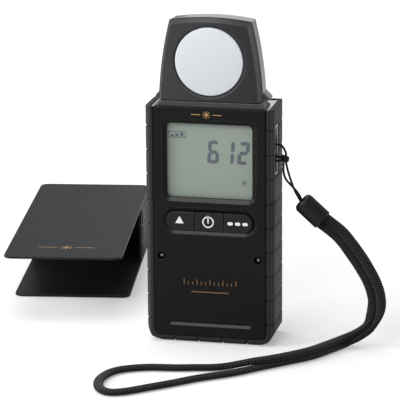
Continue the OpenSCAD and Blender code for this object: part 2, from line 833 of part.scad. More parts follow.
// One key of the row: cap, lip behind the face plate and plunger
module key(i) {
    x0 = key_edges[i] + key_gap / 2;
    x1 = key_edges[i + 1] - key_gap / 2;
    color([0.16, 0.16, 0.17]) {
        along_y(y_front - key_proud, y_lip)
            intersection() {
                translate([0, keys_z])
                    stadium(keys_w - 2 * key_gap, keys_h - 2 * key_gap);
                translate([x0, 0])
                    square([x1 - x0, body_h]);
            }
        along_y(y_lip, y_lip + key_lip)
            translate([x0 + key_gap, keys_z - keys_h / 2 - key_lip])
                square([x1 - x0 - 2 * key_gap, keys_h + 2 * key_lip]);
        rod(key_middles[i], keys_z, plunger_d, y_lip + key_lip, y_plunger);
    }
}

module case_screws() {
    color("silver")
        for (s = [-1, 1])
            difference() {
                union() {
                    rod(s * screw_x, screw_z, screw_head_d, y_front + screw_sink, screw_floor);
                    rod(s * screw_x, screw_z, screw_d, screw_floor, screw_bite);
                }
                cross_slot(s * screw_x, screw_z, screw_head_d, y_front + screw_sink, screw_head_h);
            }
}

// Cross recess of a screw head, cut in from the level y by half the head's height
module cross_slot(x, z, head_d, y, head_h) {
    slot_w = head_d / 6;
    slot_l = head_d * 0.6;
    depth = abs(head_h) / 2;
    for (size = [[slot_l, slot_w], [slot_w, slot_l]])
        along_y(y - (head_h > 0 ? over : depth), y + (head_h > 0 ? depth : over))
            translate([x, z])
                square(size, center = true);
}

module battery_cover() {
    color([0.2, 0.2, 0.2])
        difference() {
            along_y(cover_seat + cover_gap, y_back)
                bay_outline(cover_ledge - cover_gap);
            for (i = [1 : ridge_count])
                along_y(y_back - ridge_depth, y_back + over)
                    translate([0, bay_z + bay_h - 2 * i * ridge_h])
                        square([bay_w / 2, ridge_h], center = true);
        }
}

// One cell standing on its spring, nub up; the second cell is turned over
module cell_spot(s) {
    turn = s > 0 ? 180 : 0;
    translate([s * cell_x, cell_y, bay_z + bay_h / 2])
        rotate([0, turn, 0])
            translate([0, 0, -bay_h / 2])
                children();
}

module cells() {
    color([0.75, 0.6, 0.25])
        for (s = [-1, 1])
            cell_spot(s)
                translate([0, 0, contact_t + spring_l]) {
                    cylinder(h = cell_l - nub_h, d = cell_d);
                    cylinder(h = cell_l, d = nub_d);
                }
}

module battery_contacts() {
    plate_w = cell_d - 2 * contact_margin;
    color("silver")
        for (s = [-1, 1])
            cell_spot(s) {
                translate([-plate_w / 2, -plate_w / 2, 0])
                    cube([plate_w, plate_w, contact_t]);
                translate([0, 0, contact_t])
                    difference() {
                        cylinder(h = spring_l, d = spring_d);
                        translate([0, 0, -over])
                            cylinder(h = spring_l + 2 * over, d = spring_d - 2 * spring_wire);
                    }
                translate([-plate_w / 2, -plate_w / 2, bay_h - contact_t])
                    cube([plate_w, plate_w, contact_t]);
            }
}

// Outer block of the strap eye, grown by a clearance and lengthened outwards
module eye_block(grow, reach) {
    translate([eye_floor - eye_wall - grow, eye_y - eye_w / 2 - grow, eye_z - eye_h / 2 - grow])
        cube([eye_depth + eye_wall + grow + (reach > 0 ? eye_sink + reach : 0),
            eye_w + 2 * grow, eye_h + 2 * grow]);
}

module strap_eye() {
    color([0.78, 0.79, 0.8])
        difference() {
            eye_block(0, 0);
            translate([eye_floor, eye_y - eye_w / 2 + eye_wall, eye_z - eye_h / 2 + eye_wall])
                cube([eye_depth + over, eye_w - 2 * eye_wall, eye_h - 2 * eye_wall]);
            rod(bar_x, bar_z, bar_d + 2 * bar_fit, eye_y - eye_w, eye_y + eye_w);
        }
}

module strap_bar() {
    color("gray")
        rod(bar_x, bar_z, bar_d, eye_y - eye_w / 2 + fit, eye_y + eye_w / 2 - fit);
}

// Bore for the spindle through collar and deck
module spindle_hole() {
    translate([0, swivel_y, deck_under - over])
        cylinder(h = deck_t + collar_h + 2 * over, d = spindle_d + 2 * spindle_play);
}

module swivel_collar() {
    collar_w = head_w + 2 * collar_out;
    color([0.28, 0.28, 0.29])
        difference() {
            hull() {
                along_z(deck_top, deck_top + slice)
                    translate([0, swivel_y])
                        rounded(collar_w, collar_d, collar_r, $fn = hull_fn);
                along_z(collar_top - slice, collar_top)
                    translate([0, swivel_y])
                        rounded(collar_w - 2 * collar_taper, collar_d - 2 * collar_lean, collar_r,
                            $fn = hull_fn);
            }
            spindle_hole();
        }
}

module swivel_spindle() {
    foot_front = head_split + fit;
    foot_back = head_back - head_wall - fit;
    color("gray")
        difference() {
            union() {
                translate([0, swivel_y, spindle_end])
                    cylinder(h = head_z + head_wall - spindle_end, d = spindle_d);
                translate([-foot_w / 2, foot_front, head_z + head_wall])
                    cube([foot_w, foot_back - foot_front, foot_t]);
            }
            translate([0, swivel_y, spindle_end - over])
                cylinder(h = head_z + head_wall + foot_t - spindle_end + 2 * over, d = spindle_bore);
            translate([0, swivel_y, ring_z])
                difference() {
                    cylinder(h = ring_t, d = spindle_d + over);
                    translate([0, 0, -over])
                        cylinder(h = ring_t + 2 * over, d = spindle_d - 2 * ring_groove);
                }
        }
}

module friction_washer() {
    color([0.85, 0.82, 0.7])
        translate([0, swivel_y, deck_under - washer_t])
            difference() {
                cylinder(h = washer_t, d = washer_d);
                translate([0, 0, -over])
                    cylinder(h = washer_t + 2 * over, d = spindle_d + 2 * spindle_play);
            }
}

module retaining_ring() {
    color("dimgray")
        translate([0, swivel_y, ring_z])
            difference() {
                cylinder(h = ring_t, d = ring_d);
                translate([0, 0, -over])
                    cylinder(h = ring_t + 2 * over, d = spindle_d - 2 * ring_groove + 2 * bar_fit);
                translate([-spindle_d / 4, 0, -over])
                    cube([spindle_d / 2, ring_d, ring_t + 2 * over]);
            }
}

module sensor_cable() {
    cable_end = board_top + cable_gap;
    cable_top = diffuser_z - tube_d / 2 - cable_gap;
    color([0.2, 0.2, 0.6])
        translate([0, swivel_y, cable_end])
            cylinder(h = cable_top - cable_end, d = cable_d);
}

// Outline of the head: three large arcs over a flat base, drawn in by an inset
function arc_radius(chord, rise) = chord * chord / (8 * rise) + rise / 2;

module side_arc(inset) {
    low = [head_w / 2 - inset, head_z];
    high = [head_top_w / 2 - inset, head_top - head_crown];
    along = high - low;
    outward = unit([along[1], -along[0]]);
    r = arc_radius(norm(along), head_swell);
    translate((low + high) / 2 + outward * (head_swell - r))
        circle(r, $fn = arc_fn);
}

module head_outline(inset, base) {
    r = arc_radius(head_top_w, head_crown);
    intersection() {
        translate([0, head_top - inset - r])
            circle(r, $fn = arc_fn);
        side_arc(inset);
        mirror([1, 0])
            side_arc(inset);
        translate([-head_w, head_z + base])
            square([2 * head_w, head_h]);
    }
}

module head_front() {
    pocket_r = flange_r + diffuser_play;
    color([0.28, 0.28, 0.29])
        difference() {
            union() {
                difference() {
                    hull() {
                        along_y(head_split - slice, head_split)
                            head_outline(0, 0);
                        along_y(head_y, head_y + slice)
                            head_outline(panel_inset, 0);
                    }
                    along_y(y_seal, head_split + over)
                        head_outline(panel_inset + head_wall, head_wall);
                    rod(0, diffuser_z, 2 * pocket_r, y_seal, head_split + over);
                }
                for (p = head_screw_spots)
                    rod(p[0], p[1], hboss_d, y_seal, head_split);
            }
            rod(0, diffuser_z, diffuser_d + 2 * diffuser_play, head_y - over, y_seal + over);
            translate([0, head_y - slice, diffuser_z])
                rotate([-90, 0, 0])
                    cylinder(h = step_depth + slice, d1 = diffuser_d + 2 * step_w,
                        d2 = diffuser_d + 2 * diffuser_play);
            for (p = head_screw_spots)
                rod(p[0], p[1], hscrew_d + 2 * bar_fit, y_seal, head_split + over);
        }
}

module head_rear() {
    flare_front = head_back - flare_d;
    flare_in = head_w / 2 - head_wall / 2;
    flare_out = head_w / 2 + flare;
    back_wall = head_back - head_wall;
    color([0.3, 0.3, 0.31])
        difference() {
            union() {
                difference() {
                    hull() {
                        along_y(head_split, head_split + slice)
                            head_outline(0, 0);
                        along_y(head_back - slice, head_back)
                            head_outline(rear_inset, 0);
                    }
                    along_y(head_split - over, back_wall)
                        head_outline(head_wall, head_wall);
                }
                for (s = [-1, 1])
                    along_y(flare_front, head_back)
                        polygon([[s * flare_in, head_z], [s * flare_out, head_z],
                            [s * flare_out, head_z + flare_edge],
                            [s * flare_in, head_z + flare_edge + flare_out - flare_in]]);
                for (p = head_screw_spots)
                    rod(p[0], p[1], hboss_d, head_split, back_wall + post_root);
                for (p = sensor_posts())
                    rod(p[0], p[1], post_d, back_wall - post_l, back_wall + post_root);
            }
            for (p = head_screw_spots) {
                rod(p[0], p[1], hscrew_d + 2 * screw_play, head_split - over, head_back);
                rod(p[0], p[1], hscrew_head_d + 2 * screw_play, head_back - hscrew_head_h, head_back + over);
            }
            translate([0, swivel_y, head_z - over])
                cylinder(h = head_wall + 2 * over, d = spindle_d + 2 * bar_fit);
        }
}

function sensor_posts() = [for (sx = [-1, 1], sz = [-1, 1])
    [sx * (sensor_w / 2 - sensor_post_inset), sensor_z + sz * (sensor_h / 2 - sensor_post_inset)]];

module diffuser() {
    color([0.9, 0.92, 0.93]) {
        rod(0, diffuser_z, diffuser_d, head_y - diffuser_proud, y_flange);
        rod(0, diffuser_z, 2 * flange_r, y_flange, y_tube);
    }
}

module diffuser_seal() {
    color([0.1, 0.1, 0.1])
        difference() {
            rod(0, diffuser_z, 2 * flange_r, y_seal, y_flange);
            rod(0, diffuser_z, diffuser_d + 2 * fit, y_seal - over, y_flange + over);
        }
}

module light_tube() {
    color([0.08, 0.08, 0.08])
        difference() {
            rod(0, diffuser_z, tube_d, y_tube, y_sensor);
            rod(0, diffuser_z, tube_d - 2 * tube_wall, y_tube - over, y_sensor + over);
        }
}

module colour_filter() {
    color([0.4, 0.6, 0.35])
        rod(0, diffuser_z, filter_d, y_diode - filter_t, y_diode);
}

module photodiode() {
    color([0.7, 0.65, 0.4])
        rod(0, diffuser_z, diode_d, y_diode, y_sensor);
}

module sensor_board() {
    color([0.05, 0.35, 0.2])
        translate([-sensor_w / 2, y_sensor, sensor_z - sensor_h / 2])
            cube([sensor_w, sensor_t, sensor_h]);
}

module head_screws() {
    tip = y_seal + panel_t / 2;
    color("silver")
        for (p = head_screw_spots)
            difference() {
                union() {
                    rod(p[0], p[1], hscrew_head_d, head_back - hscrew_head_h, head_back - fit);
                    rod(p[0], p[1], hscrew_d, tip, head_back - hscrew_head_h);
                }
                cross_slot(p[0], p[1], hscrew_head_d, head_back - fit, -hscrew_head_h);
            }
}

module strap_cord() {
    tangents = headings(cord_route, -ferrule_dir, ferrule_dir);
    color([0.08, 0.08, 0.08])
        tube_along(cord_route, tangents, sides_along(tangents), cord_d, cord_d);
}

// Barrel with flat ends, a wide shoulder at the cord and a narrow one at the band
module strap_ferrule() {
    bulge = (ferrule_d - ferrule_end_d) / 2;
    shoulder = (ferrule_d - ferrule_mouth_d) / 2;
    color([0.05, 0.05, 0.05])
        translate(ferrule_top)
            rotate([0, ferrule_tilt, 0])
                rotate_extrude() {
                    square([ferrule_mouth_d / 2, ferrule_l]);
                    translate([0, shoulder])
                        square([ferrule_d / 2, ferrule_l - shoulder - bulge]);
                    translate([0, shoulder])
                        square([ferrule_end_d / 2, ferrule_l - shoulder]);
                    translate([ferrule_mouth_d / 2, shoulder])
                        circle(shoulder);
                    translate([ferrule_end_d / 2, ferrule_l - bulge])
                        circle(bulge);
                }
}

module strap_band() {
    tangents = headings(band_route, ferrule_dir, -ferrule_dir);
    sides = [for (i = [0 : len(band_route) - 1]) broad(tangents[i], band_route[i][2])];
    color([0.1, 0.1, 0.1])
        tube_along(band_route, tangents, sides, band_w, band_t);
}

// Cover: a long and a short plate joined by a closed end, with grip blocks on its sides
module cap_shell() {
    grip_l = cap_end_l - 2 * grip_border;
    grip_height = cap_h - 2 * grip_border;
    block_l = (grip_l - (grip_count - 1) * grip_gap) / grip_count;
    block_h = (grip_height - (grip_count - 1) * grip_gap) / grip_count;
    color([0.1, 0.1, 0.1])
        translate(cap_spot)
            rotate([0, 0, cap_turn]) {
                difference() {
                    along_z(0, cap_h)
                        rounded(cap_w, cap_l, cap_r);
                    translate([-cap_w / 2 + cap_wall, -cap_l / 2 - over, cap_wall])
                        cube([cap_w - 2 * cap_wall, cap_l + over - cap_wall, cap_h - 2 * cap_wall]);
                    translate([-cap_w, -cap_l / 2 - over, cap_wall])
                        cube([2 * cap_w, cap_l + over - cap_end_l, cap_h - 2 * cap_wall]);
                    // open end of the lower plate
                    along_z(-over, cap_wall + over)
                        difference() {
                            translate([-cap_w, -cap_l / 2 - over])
                                square([2 * cap_w, cap_short + cap_r + over]);
                            translate([0, cap_short / 2])
                                rounded(cap_w, cap_l - cap_short, cap_r);
                        }
                }
                for (s = [-1, 1], i = [0 : grip_count - 1], k = [0 : grip_count - 1])
                    translate([s * (cap_w + grip_h) / 2,
                        cap_l / 2 - cap_end_l + grip_border + block_l / 2 + i * (block_l + grip_gap),
                        grip_border + block_h / 2 + k * (block_h + grip_gap)])
                        cube([grip_h, block_l, block_h], center = true);
            }
}

front_cover();
rear_cover();
side_bumper();
top_deck();
display_window();
lcd_panel();
lcd_frame();
contact_strips();
main_board();
board_parts();
switch_domes();
key_mat();
key(0);  // key_up
key(1);  // key_power
key(2);  // key_mode
case_screws();
battery_cover();
cells();
battery_contacts();
strap_eye();
strap_bar();
swivel_collar();
swivel_spindle();
friction_washer();
retaining_ring();
sensor_cable();
head_front();
head_rear();
diffuser();
diffuser_seal();
light_tube();
colour_filter();
photodiode();
sensor_board();
head_screws();
strap_cord();
strap_ferrule();
strap_band();
cap_shell();
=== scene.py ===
"""A handheld light meter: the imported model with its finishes, prints, strap and studio."""

import json
import logging
import math
from contextlib import contextmanager
from dataclasses import dataclass, field
from enum import Enum
from functools import cache
from typing import Any, Callable, Iterator, Optional, Sequence, Union

import bmesh
import bpy
from mathutils import Matrix, Vector

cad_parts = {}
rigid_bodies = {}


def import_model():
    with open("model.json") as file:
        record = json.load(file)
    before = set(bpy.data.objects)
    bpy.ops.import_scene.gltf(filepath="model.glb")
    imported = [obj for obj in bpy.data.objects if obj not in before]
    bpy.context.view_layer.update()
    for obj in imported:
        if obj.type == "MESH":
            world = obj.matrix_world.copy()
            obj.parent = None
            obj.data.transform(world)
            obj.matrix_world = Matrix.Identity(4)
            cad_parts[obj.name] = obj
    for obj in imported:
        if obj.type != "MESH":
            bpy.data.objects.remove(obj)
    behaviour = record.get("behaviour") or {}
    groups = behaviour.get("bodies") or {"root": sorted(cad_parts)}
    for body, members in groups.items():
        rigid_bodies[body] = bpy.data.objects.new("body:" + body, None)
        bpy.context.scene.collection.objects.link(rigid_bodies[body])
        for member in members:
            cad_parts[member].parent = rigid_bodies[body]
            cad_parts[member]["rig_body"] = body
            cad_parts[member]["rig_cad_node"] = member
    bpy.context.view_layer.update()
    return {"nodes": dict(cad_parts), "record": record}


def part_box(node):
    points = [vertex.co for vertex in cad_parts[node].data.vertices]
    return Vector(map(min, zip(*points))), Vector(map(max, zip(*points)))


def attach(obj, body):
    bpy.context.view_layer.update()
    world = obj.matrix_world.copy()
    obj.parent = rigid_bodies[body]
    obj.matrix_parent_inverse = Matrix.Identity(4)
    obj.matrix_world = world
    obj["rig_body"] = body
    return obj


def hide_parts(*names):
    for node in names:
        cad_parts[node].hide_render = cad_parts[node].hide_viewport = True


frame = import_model()

MM = 0.001
# Mark of the rounded edges, which the finishes lighten for wear and a painted highlight.
WEAR_AND_HIGHLIGHT = "wear_and_highlight"
SLOPE = "upward"
STRANDS = "strands"
BLACK = (0.001, 0.001, 0.001, 1.0)
WHITE = (1.0, 1.0, 1.0, 1.0)
log = logging.getLogger("light_meter")

Colour = tuple[float, float, float]
Point = tuple[float, float, float]
Spot = tuple[float, float]
Value = Union["Signal", float, Sequence[float]]


def tone(red: int, green: int, blue: int) -> Colour:
    """Turns a screen colour of 0 to 255 into the linear colour that shaders take."""
    shares = (red / 255, green / 255, blue / 255)
    return tuple(((s + 0.055) / 1.055) ** 2.4 if s > 0.04 else s / 12.92 for s in shares)


def shade(colour: Colour, amount: float = 1.0) -> tuple[float, float, float, float]:
    """Lightens or darkens a colour and adds the alpha that colour sockets take."""
    return (*(min(1.0, c * amount) for c in colour), 1.0)


class Signal:
    """A value on its way through a shader; an expression on it adds Math nodes."""

    def __init__(self, graph: "Graph", socket: bpy.types.NodeSocket) -> None:
        """Wraps one output socket of a graph."""
        self.graph = graph
        self.socket = socket

    def _math(self, operation: str, first: Value, second: Value = 0.0) -> "Signal":
        """Adds one Math node on two values."""
        return self.graph.node("ShaderNodeMath", {"operation": operation}, {0: first, 1: second})

    def __add__(self, other: Value) -> "Signal":
        """Adds a value."""
        return self._math("ADD", self, other)

    def __radd__(self, other: Value) -> "Signal":
        """Adds itself to a number."""
        return self._math("ADD", other, self)

    def __sub__(self, other: Value) -> "Signal":
        """Takes a value away."""
        return self._math("SUBTRACT", self, other)

    def __rsub__(self, other: Value) -> "Signal":
        """Takes itself away from a number."""
        return self._math("SUBTRACT", other, self)

    def __mul__(self, other: Value) -> "Signal":
        """Multiplies by a value."""
        return self._math("MULTIPLY", self, other)

    def __rmul__(self, other: Value) -> "Signal":
        """Multiplies a number by itself."""
        return self._math("MULTIPLY", other, self)

    def __abs__(self) -> "Signal":
        """Drops the sign."""
        return self._math("ABSOLUTE", self)

    def at_least(self, least: float) -> "Signal":
        """Gives the larger of itself and a number."""
        return self._math("MAXIMUM", self, least)

    def cosine(self) -> "Signal":
        """Gives the cosine of that many whole turns."""
        return self._math("COSINE", self * math.tau)

    def wave(self) -> "Signal":
        """Runs from 0 to 1 and back once for each whole number."""
        return self.cosine() * 0.5 + 0.5

    def between(self, low: float, high: float) -> "Signal":
        """Rises softly from 0 at low to 1 at high.

        Args:
            low: Where it leaves 0.
            high: Where it reaches 1.

        Returns:
            The soft step.
        """
        return self.graph.node(
            "ShaderNodeMapRange",
            {"interpolation_type": "SMOOTHSTEP"},
            {"Value": self, "From Min": low, "From Max": high},
        )


class Graph:
    """The node tree of one material."""

    def __init__(self, name: str) -> None:
        """Starts an empty material.

        Args:
            name: Name of the material.
        """
        self.material = bpy.data.materials.new(name)
        self.material.use_nodes = True
        self.tree = self.material.node_tree
        self.tree.nodes.clear()

    def node(
        self,
        kind: str,
        settings: Optional[dict[str, Any]] = None,
        sockets: Optional[dict[Union[int, str], Value]] = None,
        out: Union[int, str] = 0,
    ) -> Signal:
        """Adds one node.

        Args:
            kind: The node's type name.
            settings: Its properties, set first.
            sockets: Values or signals for its inputs, by name or place.
            out: The output that is handed on.

        Returns:
            The chosen output as a signal.
        """
        made = self.tree.nodes.new(kind)
        for key, value in (settings or {}).items():
            setattr(made, key, value)
        for key, value in (sockets or {}).items():
            if isinstance(value, Signal):
                self.tree.links.new(value.socket, made.inputs[key])
            else:
                made.inputs[key].default_value = value
        return Signal(self, made.outputs[out] if made.outputs else None)

    def spot(self, stretch: Point = (1.0, 1.0, 1.0)) -> Signal:
        """Gives the place on the piece in millimetres, squeezed along each axis."""
        here = self.node("ShaderNodeTexCoord", out="Object")
        return self.node("ShaderNodeMapping", sockets={"Vector": here, "Scale": [s / MM for s in stretch]})

    def axis(self, name: str) -> Signal:
        """Gives one coordinate of the place on the piece in millimetres."""
        return self.node("ShaderNodeSeparateXYZ", sockets={"Vector": self.spot()}, out=name)

    def noise(self, size: float, detail: float = 2.0, stretch: Point = (1.0, 1.0, 1.0)) -> Signal:
        """Gives soft noise from 0 to 1 whose blots are about size millimetres across.

        Args:
            size: Size of the blots.
            detail: Finer layers that are added.
            stretch: Squeeze along each axis.

        Returns:
            The noise.
        """
        return self.node(
            "ShaderNodeTexNoise",
            sockets={"Vector": self.spot(stretch), "Scale": 1.0 / size, "Detail": detail},
        )

    def mark(self, name: str) -> Signal:
        """Gives a mark that was left on the faces of a piece, and 0 where there is none."""
        return self.node("ShaderNodeAttribute", {"attribute_name": name}, out="Fac")

    def mix(self, factor: Value, first: Value, second: Value) -> Signal:
        """Blends two colours."""
        return self.node("ShaderNodeMix", {"data_type": "RGBA"}, {0: factor, 6: first, 7: second}, out=2)

    def bump(self, height: Signal, relief: float) -> Signal:
        """Gives the normal of a relief of that many millimetres."""
        sockets = {"Height": height, "Distance": relief * MM, "Strength": 1.0}
        return self.node("ShaderNodeBump", sockets=sockets, out="Normal")

    def surface(self, sockets: dict[str, Value]) -> None:
        """Ends the material in one Principled shader with these sockets."""
        shader = self.node("ShaderNodeBsdfPrincipled", sockets=sockets)
        self.node("ShaderNodeOutputMaterial", sockets={"Surface": shader})


@dataclass(frozen=True)
class Finish:
    """How one surface looks."""

    name: str
    colour: Colour
    roughness: float = 0.5
    specular: float = 0.5

    @cache
    def material(self) -> bpy.types.Material:
        """Makes the material once and hands the same one out again.

        Returns:
            The material.
        """
        graph = Graph(f"{self.name}_finish")
        self.paint(graph)
        return graph.material

    def shades(self, graph: Graph, factor: Signal, first: float, second: float) -> Signal:
        """Blends two shades of the finish's colour."""
        return graph.mix(factor, shade(self.colour, first), shade(self.colour, second))

    def dark(self, graph: Graph) -> Value:
        """Gives 1 where painted shade turns the colour black, and 0 elsewhere."""
        return 0.0

    def paint(self, graph: Graph) -> None:
        """Lays the nodes of this finish into a graph."""
        raise NotImplementedError


@dataclass(frozen=True)
class MouldedPlastic(Finish):
    """Plastic or rubber out of a spark-eroded mould, lighter along its edges: partly wear, partly a painted
    highlight.

    Attributes:
        edge: How much lighter the edges are, for wear and a painted highlight.
        grain: Size of the mould's grain in millimetres.
        relief: Height of the grain in millimetres.
        mottle: How much the colour varies.
        polish: Gloss of the slopes that face up.
        cloud_size: Size of the colour's clouds in millimetres.
        edge_patch_size: Size of the patches of wear and painted highlight along the edges, in millimetres.
    """

    edge: float = 2.2
    grain: float = 0.3
    relief: float = 0.012
    mottle: float = 0.12
    polish: float = 0.0
    cloud_size: float = 16.0
    edge_patch_size: float = 2.5

    def wear_and_highlight(self, graph: Graph) -> Signal:
        """Gives 1 on the marked edges, in patches, where the colour is lighter for wear and a painted
        highlight, and 0 elsewhere.
        """
        return graph.mark(WEAR_AND_HIGHLIGHT) * graph.noise(self.edge_patch_size, 3.0).between(0.3, 0.7)

    def ground(self, graph: Graph, cloud: Signal, wear_and_highlight_mask: Signal) -> Signal:
        """Gives the cloudy colour, lighter in places for wear and a painted highlight."""
        plain = self.shades(graph, cloud, 1 - self.mottle, 1 + self.mottle)
        return graph.mix(wear_and_highlight_mask, plain, shade(self.colour, self.edge))

    def paint(self, graph: Graph) -> None:
        """Lays grain, cloudy colour, lighter edges of wear and painted highlight, any painted shade, and
        polished slopes.

        Args:
            graph: The graph of the material.
        """
        cloud = graph.noise(self.cloud_size, 3.0)
        grain = graph.noise(self.grain, 1.0)
        wear_and_highlight_mask = self.wear_and_highlight(graph)
        graph.surface({
            "Base Color": graph.mix(self.dark(graph), self.ground(graph, cloud, wear_and_highlight_mask), BLACK),
            "Roughness": self.roughness + 0.12 * (cloud - 0.5) + 0.1 * (grain - 0.5) - 0.08 * wear_and_highlight_mask,
            "Specular IOR Level": self.specular,
            "Coat Weight": graph.mark(SLOPE).between(0.1, 0.4) * self.polish,
            "Coat Roughness": 0.22,
            "Coat IOR": 1.8,
            "Normal": graph.bump(grain, self.relief),
        })


@dataclass(frozen=True)
class FacePlastic(MouldedPlastic):
    """Plastic of the face plate, with painted shade along the gap round its sides and foot.

    Attributes:
        half: Half the plate's width in millimetres.
        foot: Height of its lower edge.
        round_: Radius of its lower corners.
        width: Width of the painted shade line.
    """

    half: float = 26.4
    foot: float = 3.2
    round_: float = 3.0
    width: float = 0.6

    def dark(self, graph: Graph) -> Signal:
        """Paints shade along the plate's outline with its rounded lower corners.

        Args:
            graph: The graph of the material.

        Returns:
            The painted shade.
        """
        across = (abs(graph.axis("X")) - (self.half - self.round_)).at_least(0.0)
        below = ((self.foot + self.round_) - graph.axis("Z")).at_least(0.0)
        inner = self.round_ - self.width
        return (across * across + below * below).between(inner**2, (inner + 0.3) ** 2)


@dataclass(frozen=True)
class HighlitCornerRubber(MouldedPlastic):
    """Soft rubber with a painted highlight along its long front corners."""

    corner: Spot = (30.0, -13.2)
    reach: float = 2.0

    def wear_and_highlight(self, graph: Graph) -> Signal:
        """Paints the highlight, fading out with the distance from the corner."""
        across, deep = abs(graph.axis("X")) - self.corner[0], graph.axis("Y") - self.corner[1]
        return 1.0 - (across * across + deep * deep).between(0.0, self.reach**2)


@dataclass(frozen=True)
class ShellPlastic(MouldedPlastic):
    """Plastic of two shells: a grained, faintly crowned front, painted shade along the parting line and a
    glossy rear.
    """

    parting: float = -8.0
    crown: float = 0.007
    gloss: float = 0.16

    def paint(self, graph: Graph) -> None:
        """Lays grain and cloudy colour, and paints shade into the parting line.

        Args:
            graph: The graph of the material.
        """
        cloud = graph.noise(self.cloud_size, 3.0)
        grain = graph.noise(self.grain, 1.0)
        behind = graph.axis("Y") - self.parting
        # Painted shade in the gap between the front and rear shells.
        line = 1.0 - abs(behind).between(0.25, 0.5)
        ground = self.ground(graph, cloud, self.wear_and_highlight(graph))
        across = graph.axis("X")
        graph.surface({
            "Base Color": graph.mix(line, ground, shade(self.colour, 0.12)),
            "Roughness": self.roughness + 0.12 * (cloud - 0.5) + 0.1 * (grain - 0.5),
            "Specular IOR Level": self.specular,
            "Coat Weight": behind.between(0.4, 0.6),
            "Coat Roughness": self.gloss,
            "Normal": graph.bump(grain * self.relief - across * across * self.crown, 1.0),
        })


@dataclass(frozen=True)
class Metal(Finish):
    """Rolled, turned or plated metal with fine drawn lines."""

    drawn: Point = (1.0, 1.0, 1.0)
    relief: float = 0.004
    line_size: float = 0.25
    dull_size: float = 6.0

    def paint(self, graph: Graph) -> None:
        """Lays drawn lines and dull patches.

        Args:
            graph: The graph of the material.
        """
        lines = graph.noise(self.line_size, 2.0, self.drawn)
        dull = graph.noise(self.dull_size, 3.0)
        bare = self.shades(graph, dull, 0.86, 1.08)
        graph.surface({
            "Base Color": graph.mix(self.dark(graph), bare, BLACK),
            "Metallic": 1.0,
            "Roughness": self.roughness + 0.14 * (lines - 0.5) + 0.1 * (dull - 0.5),
            "Normal": graph.bump(lines, self.relief),
        })


@dataclass(frozen=True)
class ShadedGlintScrew(Metal):
    """Screw heads on either side of the middle: a painted glint on a thin ring round the driver recess, and
    painted shade black inside and outside it.
    """

    middle: Spot = (22.7, 41.4)
    glint_radius: float = 0.5

    def dark(self, graph: Graph) -> Signal:
        """Paints shade black inside and outside the thin ring that keeps the glint."""
        across, up = abs(graph.axis("X")) - self.middle[0], graph.axis("Z") - self.middle[1]
        return abs(across * across + up * up - self.glint_radius**2).between(0.08, 0.3)


@dataclass(frozen=True)
class Opal(Finish):
    """Milky plastic that scatters light, with painted light: paler towards its upper left, darker towards
    its lower right.
    """

    middle: Spot = (0.0, 133.3)
    span: float = 32.0
    cloud_size: float = 22.0
    skin_size: float = 0.4
    relief: float = 0.004

    def paint(self, graph: Graph) -> None:
        """Lays a painted light gradient and a faint cloud under a satin skin.

        Args:
            graph: The graph of the material.
        """
        # Painted light: the colour grows darker towards the lower right, away from the light.
        lower = (graph.axis("X") - self.middle[0]) * 0.4 - (graph.axis("Z") - self.middle[1]) * 0.8
        cloud = graph.noise(self.cloud_size, 2.0) * 0.3 + lower * (1 / self.span) + 0.35
        skin = graph.noise(self.skin_size, 2.0)
        graph.surface({
            "Base Color": self.shades(graph, cloud, 1.12, 0.94),
            "Roughness": self.roughness + 0.06 * (skin - 0.5),
            "Specular IOR Level": self.specular,
            "Subsurface Weight": 0.15,
            "Subsurface Radius": (0.002, 0.002, 0.002),
            "Subsurface Scale": 1.0,
            "Normal": graph.bump(skin, self.relief),
        })


@dataclass(frozen=True)
class Pane(Finish):
    """Clear or tinted sheet that shows what lies behind it."""

    cover: float = 0.1
    smear_size: float = 9.0
    wiped: Point = (1.0, 1.0, 0.4)

    def paint(self, graph: Graph) -> None:
        """Lays faint wiping marks into a clear sheet.

        Args:
            graph: The graph of the material.
        """
        smear = graph.noise(self.smear_size, 4.0, self.wiped)
        graph.surface({
            "Base Color": shade(self.colour),
            "Roughness": self.roughness + 0.06 * smear,
            "Specular IOR Level": self.specular,
            "Alpha": self.cover + 0.03 * (smear - 0.5),
        })


@dataclass(frozen=True)
class LiquidCrystal(Finish):
    """Reflecting display: grey green, paler towards its upper left through painted light, with a faint grid
    of cells.
    """

    middle: Spot = (0.0, 87.0)
    span: float = 40.0
    cell: float = 0.35
    glitter_size: float = 0.2

    def paint(self, graph: Graph) -> None:
        """Lays the painted light gradient, the grid and the silvery reflector.

        Args:
            graph: The graph of the material.
        """
        # Painted light: paler towards the upper left.
        across = (graph.axis("X") - self.middle[0]) * (-0.5 / self.span)
        up = (graph.axis("Z") - self.middle[1]) * (0.6 / self.span)
        pale = across + up + 0.5
        grid = (graph.axis("X") * (1 / self.cell)).wave() * (graph.axis("Z") * (1 / self.cell)).wave()
        glitter = graph.noise(self.glitter_size, 1.0)
        body = self.shades(graph, pale, 0.9, 1.1)
        graph.surface({
            "Base Color": graph.mix(grid * 0.12 + glitter * 0.12, body, shade(self.colour, 0.8)),
            "Roughness": self.roughness + 0.08 * (glitter - 0.5),
            "Specular IOR Level": self.specular,
        })


@dataclass(frozen=True)
class Ink(Finish):
    """Printed layer, a little uneven."""

    metallic: float = 0.0
    blot_size: float = 0.6
    relief: float = 0.006

    def paint(self, graph: Graph) -> None:
        """Lays thin and thick places of the print.

        Args:
            graph: The graph of the material.
        """
        body = graph.noise(self.blot_size, 3.0)
        graph.surface({
            "Base Color": self.shades(graph, body, 0.84, 1.12),
            "Metallic": self.metallic,
            "Roughness": self.roughness + 0.16 * (body - 0.5),
            "Specular IOR Level": self.specular,
            "Normal": graph.bump(body, self.relief),
        })


